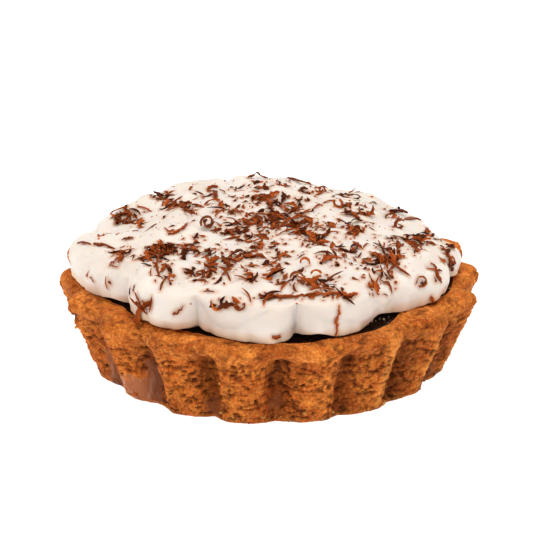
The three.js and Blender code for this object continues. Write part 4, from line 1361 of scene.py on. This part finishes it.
def strewCrumbs(name, carrier, where, kind, material, seed):  # crumbs stuck over a surface
    obj = bpy.data.objects.new(name, carrier.data.copy())
    scene.collection.objects.link(obj)
    giveAttribute(obj.data, "where", where)
    rack = crumbForms(name + "_form", np.random.default_rng(seed))
    smallest, largest = crumbs[kind + "Size"]
    values = {
        "Forms": rack, "Density": crumbs[kind + "PerSquare"], "Smallest": smallest, "Largest": largest,
        "Darkest": crumbs[kind + "Darkest"], "Seed": seed, "Material": material}
    tree, given = newTree(name, values)
    share = add(tree, "GeometryNodeInputNamedAttribute", "where", data_type="FLOAT")
    density = add(tree, "Math", share, given["Density"], operation="MULTIPLY")
    spread = add(tree, "GeometryNodeDistributePointsOnFaces", given["Geometry"], {
        "Density": density, "Seed": given["Seed"]}, distribute_method="RANDOM")
    forms = add(tree, "GeometryNodeCollectionInfo", given["Forms"], True, True)
    turn = add(tree, "FunctionNodeRandomValue", (0, 0, 0), (6.28, 6.28, 6.28), {"Seed": given["Seed"]},
               data_type="FLOAT_VECTOR")
    pick = add(tree, "FunctionNodeRandomValue", {"Seed": given["Seed"]}, data_type="FLOAT")
    pick = add(tree, "Math", pick, 3.0, operation="POWER")  # most are small
    scale = add(tree, "Mix", pick, given["Smallest"], given["Largest"], data_type="FLOAT")
    placed = add(tree, "GeometryNodeInstanceOnPoints", spread, {
        "Instance": forms, "Pick Instance": True, "Rotation": turn, "Scale": scale})
    tone = add(tree, "FunctionNodeRandomValue", given["Darkest"], 1.0, add(tree, "GeometryNodeInputIndex"),
               given["Seed"], data_type="FLOAT")
    placed = add(tree, "GeometryNodeStoreNamedAttribute", placed, {"Name": "tone", "Value": tone},
                 data_type="FLOAT", domain="INSTANCE")
    real = add(tree, "GeometryNodeRealizeInstances", placed)
    dressed = add(tree, "GeometryNodeSetMaterial", real, {"Material": given["Material"]})
    applyTree(obj, tree, dressed, values)
    dropRack(rack)
    return obj


def pastryCrumb():  # loose shortcrust crumbs: golden, dry and matt
    material = newMaterial("loose shortcrust crumbs")
    tree = material.node_tree
    tone = add(tree, "Attribute", out="Fac", attribute_name="tone")
    return finishMaterial(material, {
        "Base Color": add(tree, "Mix", tone, linear("#5E2A0C"), linear("#DC9A4A"), data_type="RGBA"),
        "Roughness": 0.85, "Specular IOR Level": 0.25})


straySpots = {  # single crumbs seen in the frame: pixel, size in mm and tone
    "goldLeft": ((140.5, 255.5), 0.5, 1.0), "goldMiddle": ((323, 243), 0.5, 1.0),
    "goldBack": ((387, 207), 0.5, 1.0), "goldCup": ((367, 217), 0.4, 1.0),
    "wallLeft": ((77, 327), 0.9, 0.8), "foot": ((222, 412), 1.3, 0.6),
    "footRight": ((383, 402), 1.1, 0.7), "footBeside": ((233, 416), 1.1, 0.6),
    "rightEdge": ((476, 288), 0.9, 0.3), "footDark": ((239, 416.5), 0.8, 0.0),
    "footMiddle": ((305, 413), 1.0, 0.6), "footFar": ((332, 411.5), 0.9, 0.55),
    "footFarDark": ((313, 414), 0.8, 0.1), "footLeft": ((196, 409), 0.8, 0.7),
    "wallLow": ((262, 416), 0.9, 0.5),
}
creamDropsAndGlints = {  # cream smeared on the toffee and the rim; these small white drops also stand in for wet glints on the toffee, painted highlights
    "first": ((368, 324.5), 0.5, 0), "second": ((372, 322), 0.6, 0), "third": ((375.5, 321), 0.45, 0),
    "fourth": ((380, 319), 0.5, 0), "fifth": ((384, 319.5), 0.6, 0), "sixth": ((389, 317), 0.5, 0),
    "right": ((445, 287), 0.5, 0), "farRight": ((450, 289), 0.6, 0),
}


def addStrays(obj, spots, seed):  # a lump at each pixel, in the material that the piece has
    chance = np.random.default_rng(seed)
    work = bmesh.new()
    work.from_mesh(obj.data)
    tones = work.verts.layers.float.get("tone")
    work.faces.ensure_lookup_table()
    worn = work.faces[0].material_index
    for (px, py), size, tone in spots.values():
        point, normal = seenAt(tartSurface, px, py)
        if point is None:
            continue
        made = bmesh.ops.create_icosphere(work, subdivisions=1, radius=0.5 * size * mm)["verts"]
        for vert in made:
            vert.co = point + normal * 0.15 * size * mm + vert.co * chance.uniform(0.5, 1.3)
            if tones:
                vert[tones] = tone
            for face in vert.link_faces:
                face.material_index = worn
    work.to_mesh(obj.data)
    work.free()


points = meshPoints(creamPiece.data) / mm
radius, height = np.hypot(points[:, 0], points[:, 1]), points[:, 2]
onTop = ramp(height, *crumbs["topHeights"]) * (1 - crumbs["topFewer"] * ramp(radius, *crumbs["topRadii"]))
onTop = onTop + crumbs["sideShare"] * (height > crumbs["sideFrom"])
chocolateCrumbs = strewCrumbs(
    "chocolate_crumbs", creamPiece, onTop, "chocolate", milkChocolate, crumbs["seed"])
points = meshPoints(crustPiece.data) / mm
radius, height = np.hypot(points[:, 0], points[:, 1]), points[:, 2]
pressedShare = np.zeros(len(points), np.float32)
crustPiece.data.attributes["pressed"].data.foreach_get("value", pressedShare)
onWall = (radius > crumbs["wallFrom"][0]) * (height > crumbs["wallFrom"][1])
onWall = onWall * (crumbs["wallShare"] + crumbs["footShare"] * (1 - ramp(height, *crumbs["footHeights"])))
onWall = onWall * (1 - crumbs["pressedFewer"] * pressedShare)
onWall = onWall * (1 - crumbs["rimFewer"] * ramp(height, *crumbs["rimHeights"]))
pastryCrumbs = strewCrumbs("pastry_crumbs", crustPiece, onWall, "pastry", pastryCrumb(), crumbs["seed"] + 1)
addStrays(pastryCrumbs, straySpots, crumbs["seed"] + 2)
addStrays(creamPiece, creamDropsAndGlints, crumbs["seed"] + 3)
keepAboveTable(pastryCrumbs)
print("crumbs:", triangleCount(chocolateCrumbs), triangleCount(pastryCrumbs), "triangles")


# Who rides on what

for piece, node, slotName in (
    (crustPiece, "crust", "crust"), (fillingPiece, "filling", "filling"), (creamPiece, "cream", "cream"),
    (shavingsPiece, "cream", "chocolate"), (strandsPiece, None, "chocolate"),
    (chocolateCrumbs, None, "chocolate"), (pastryCrumbs, None, "crust"),
):
    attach(piece, "root")
    if node:
        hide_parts(node)
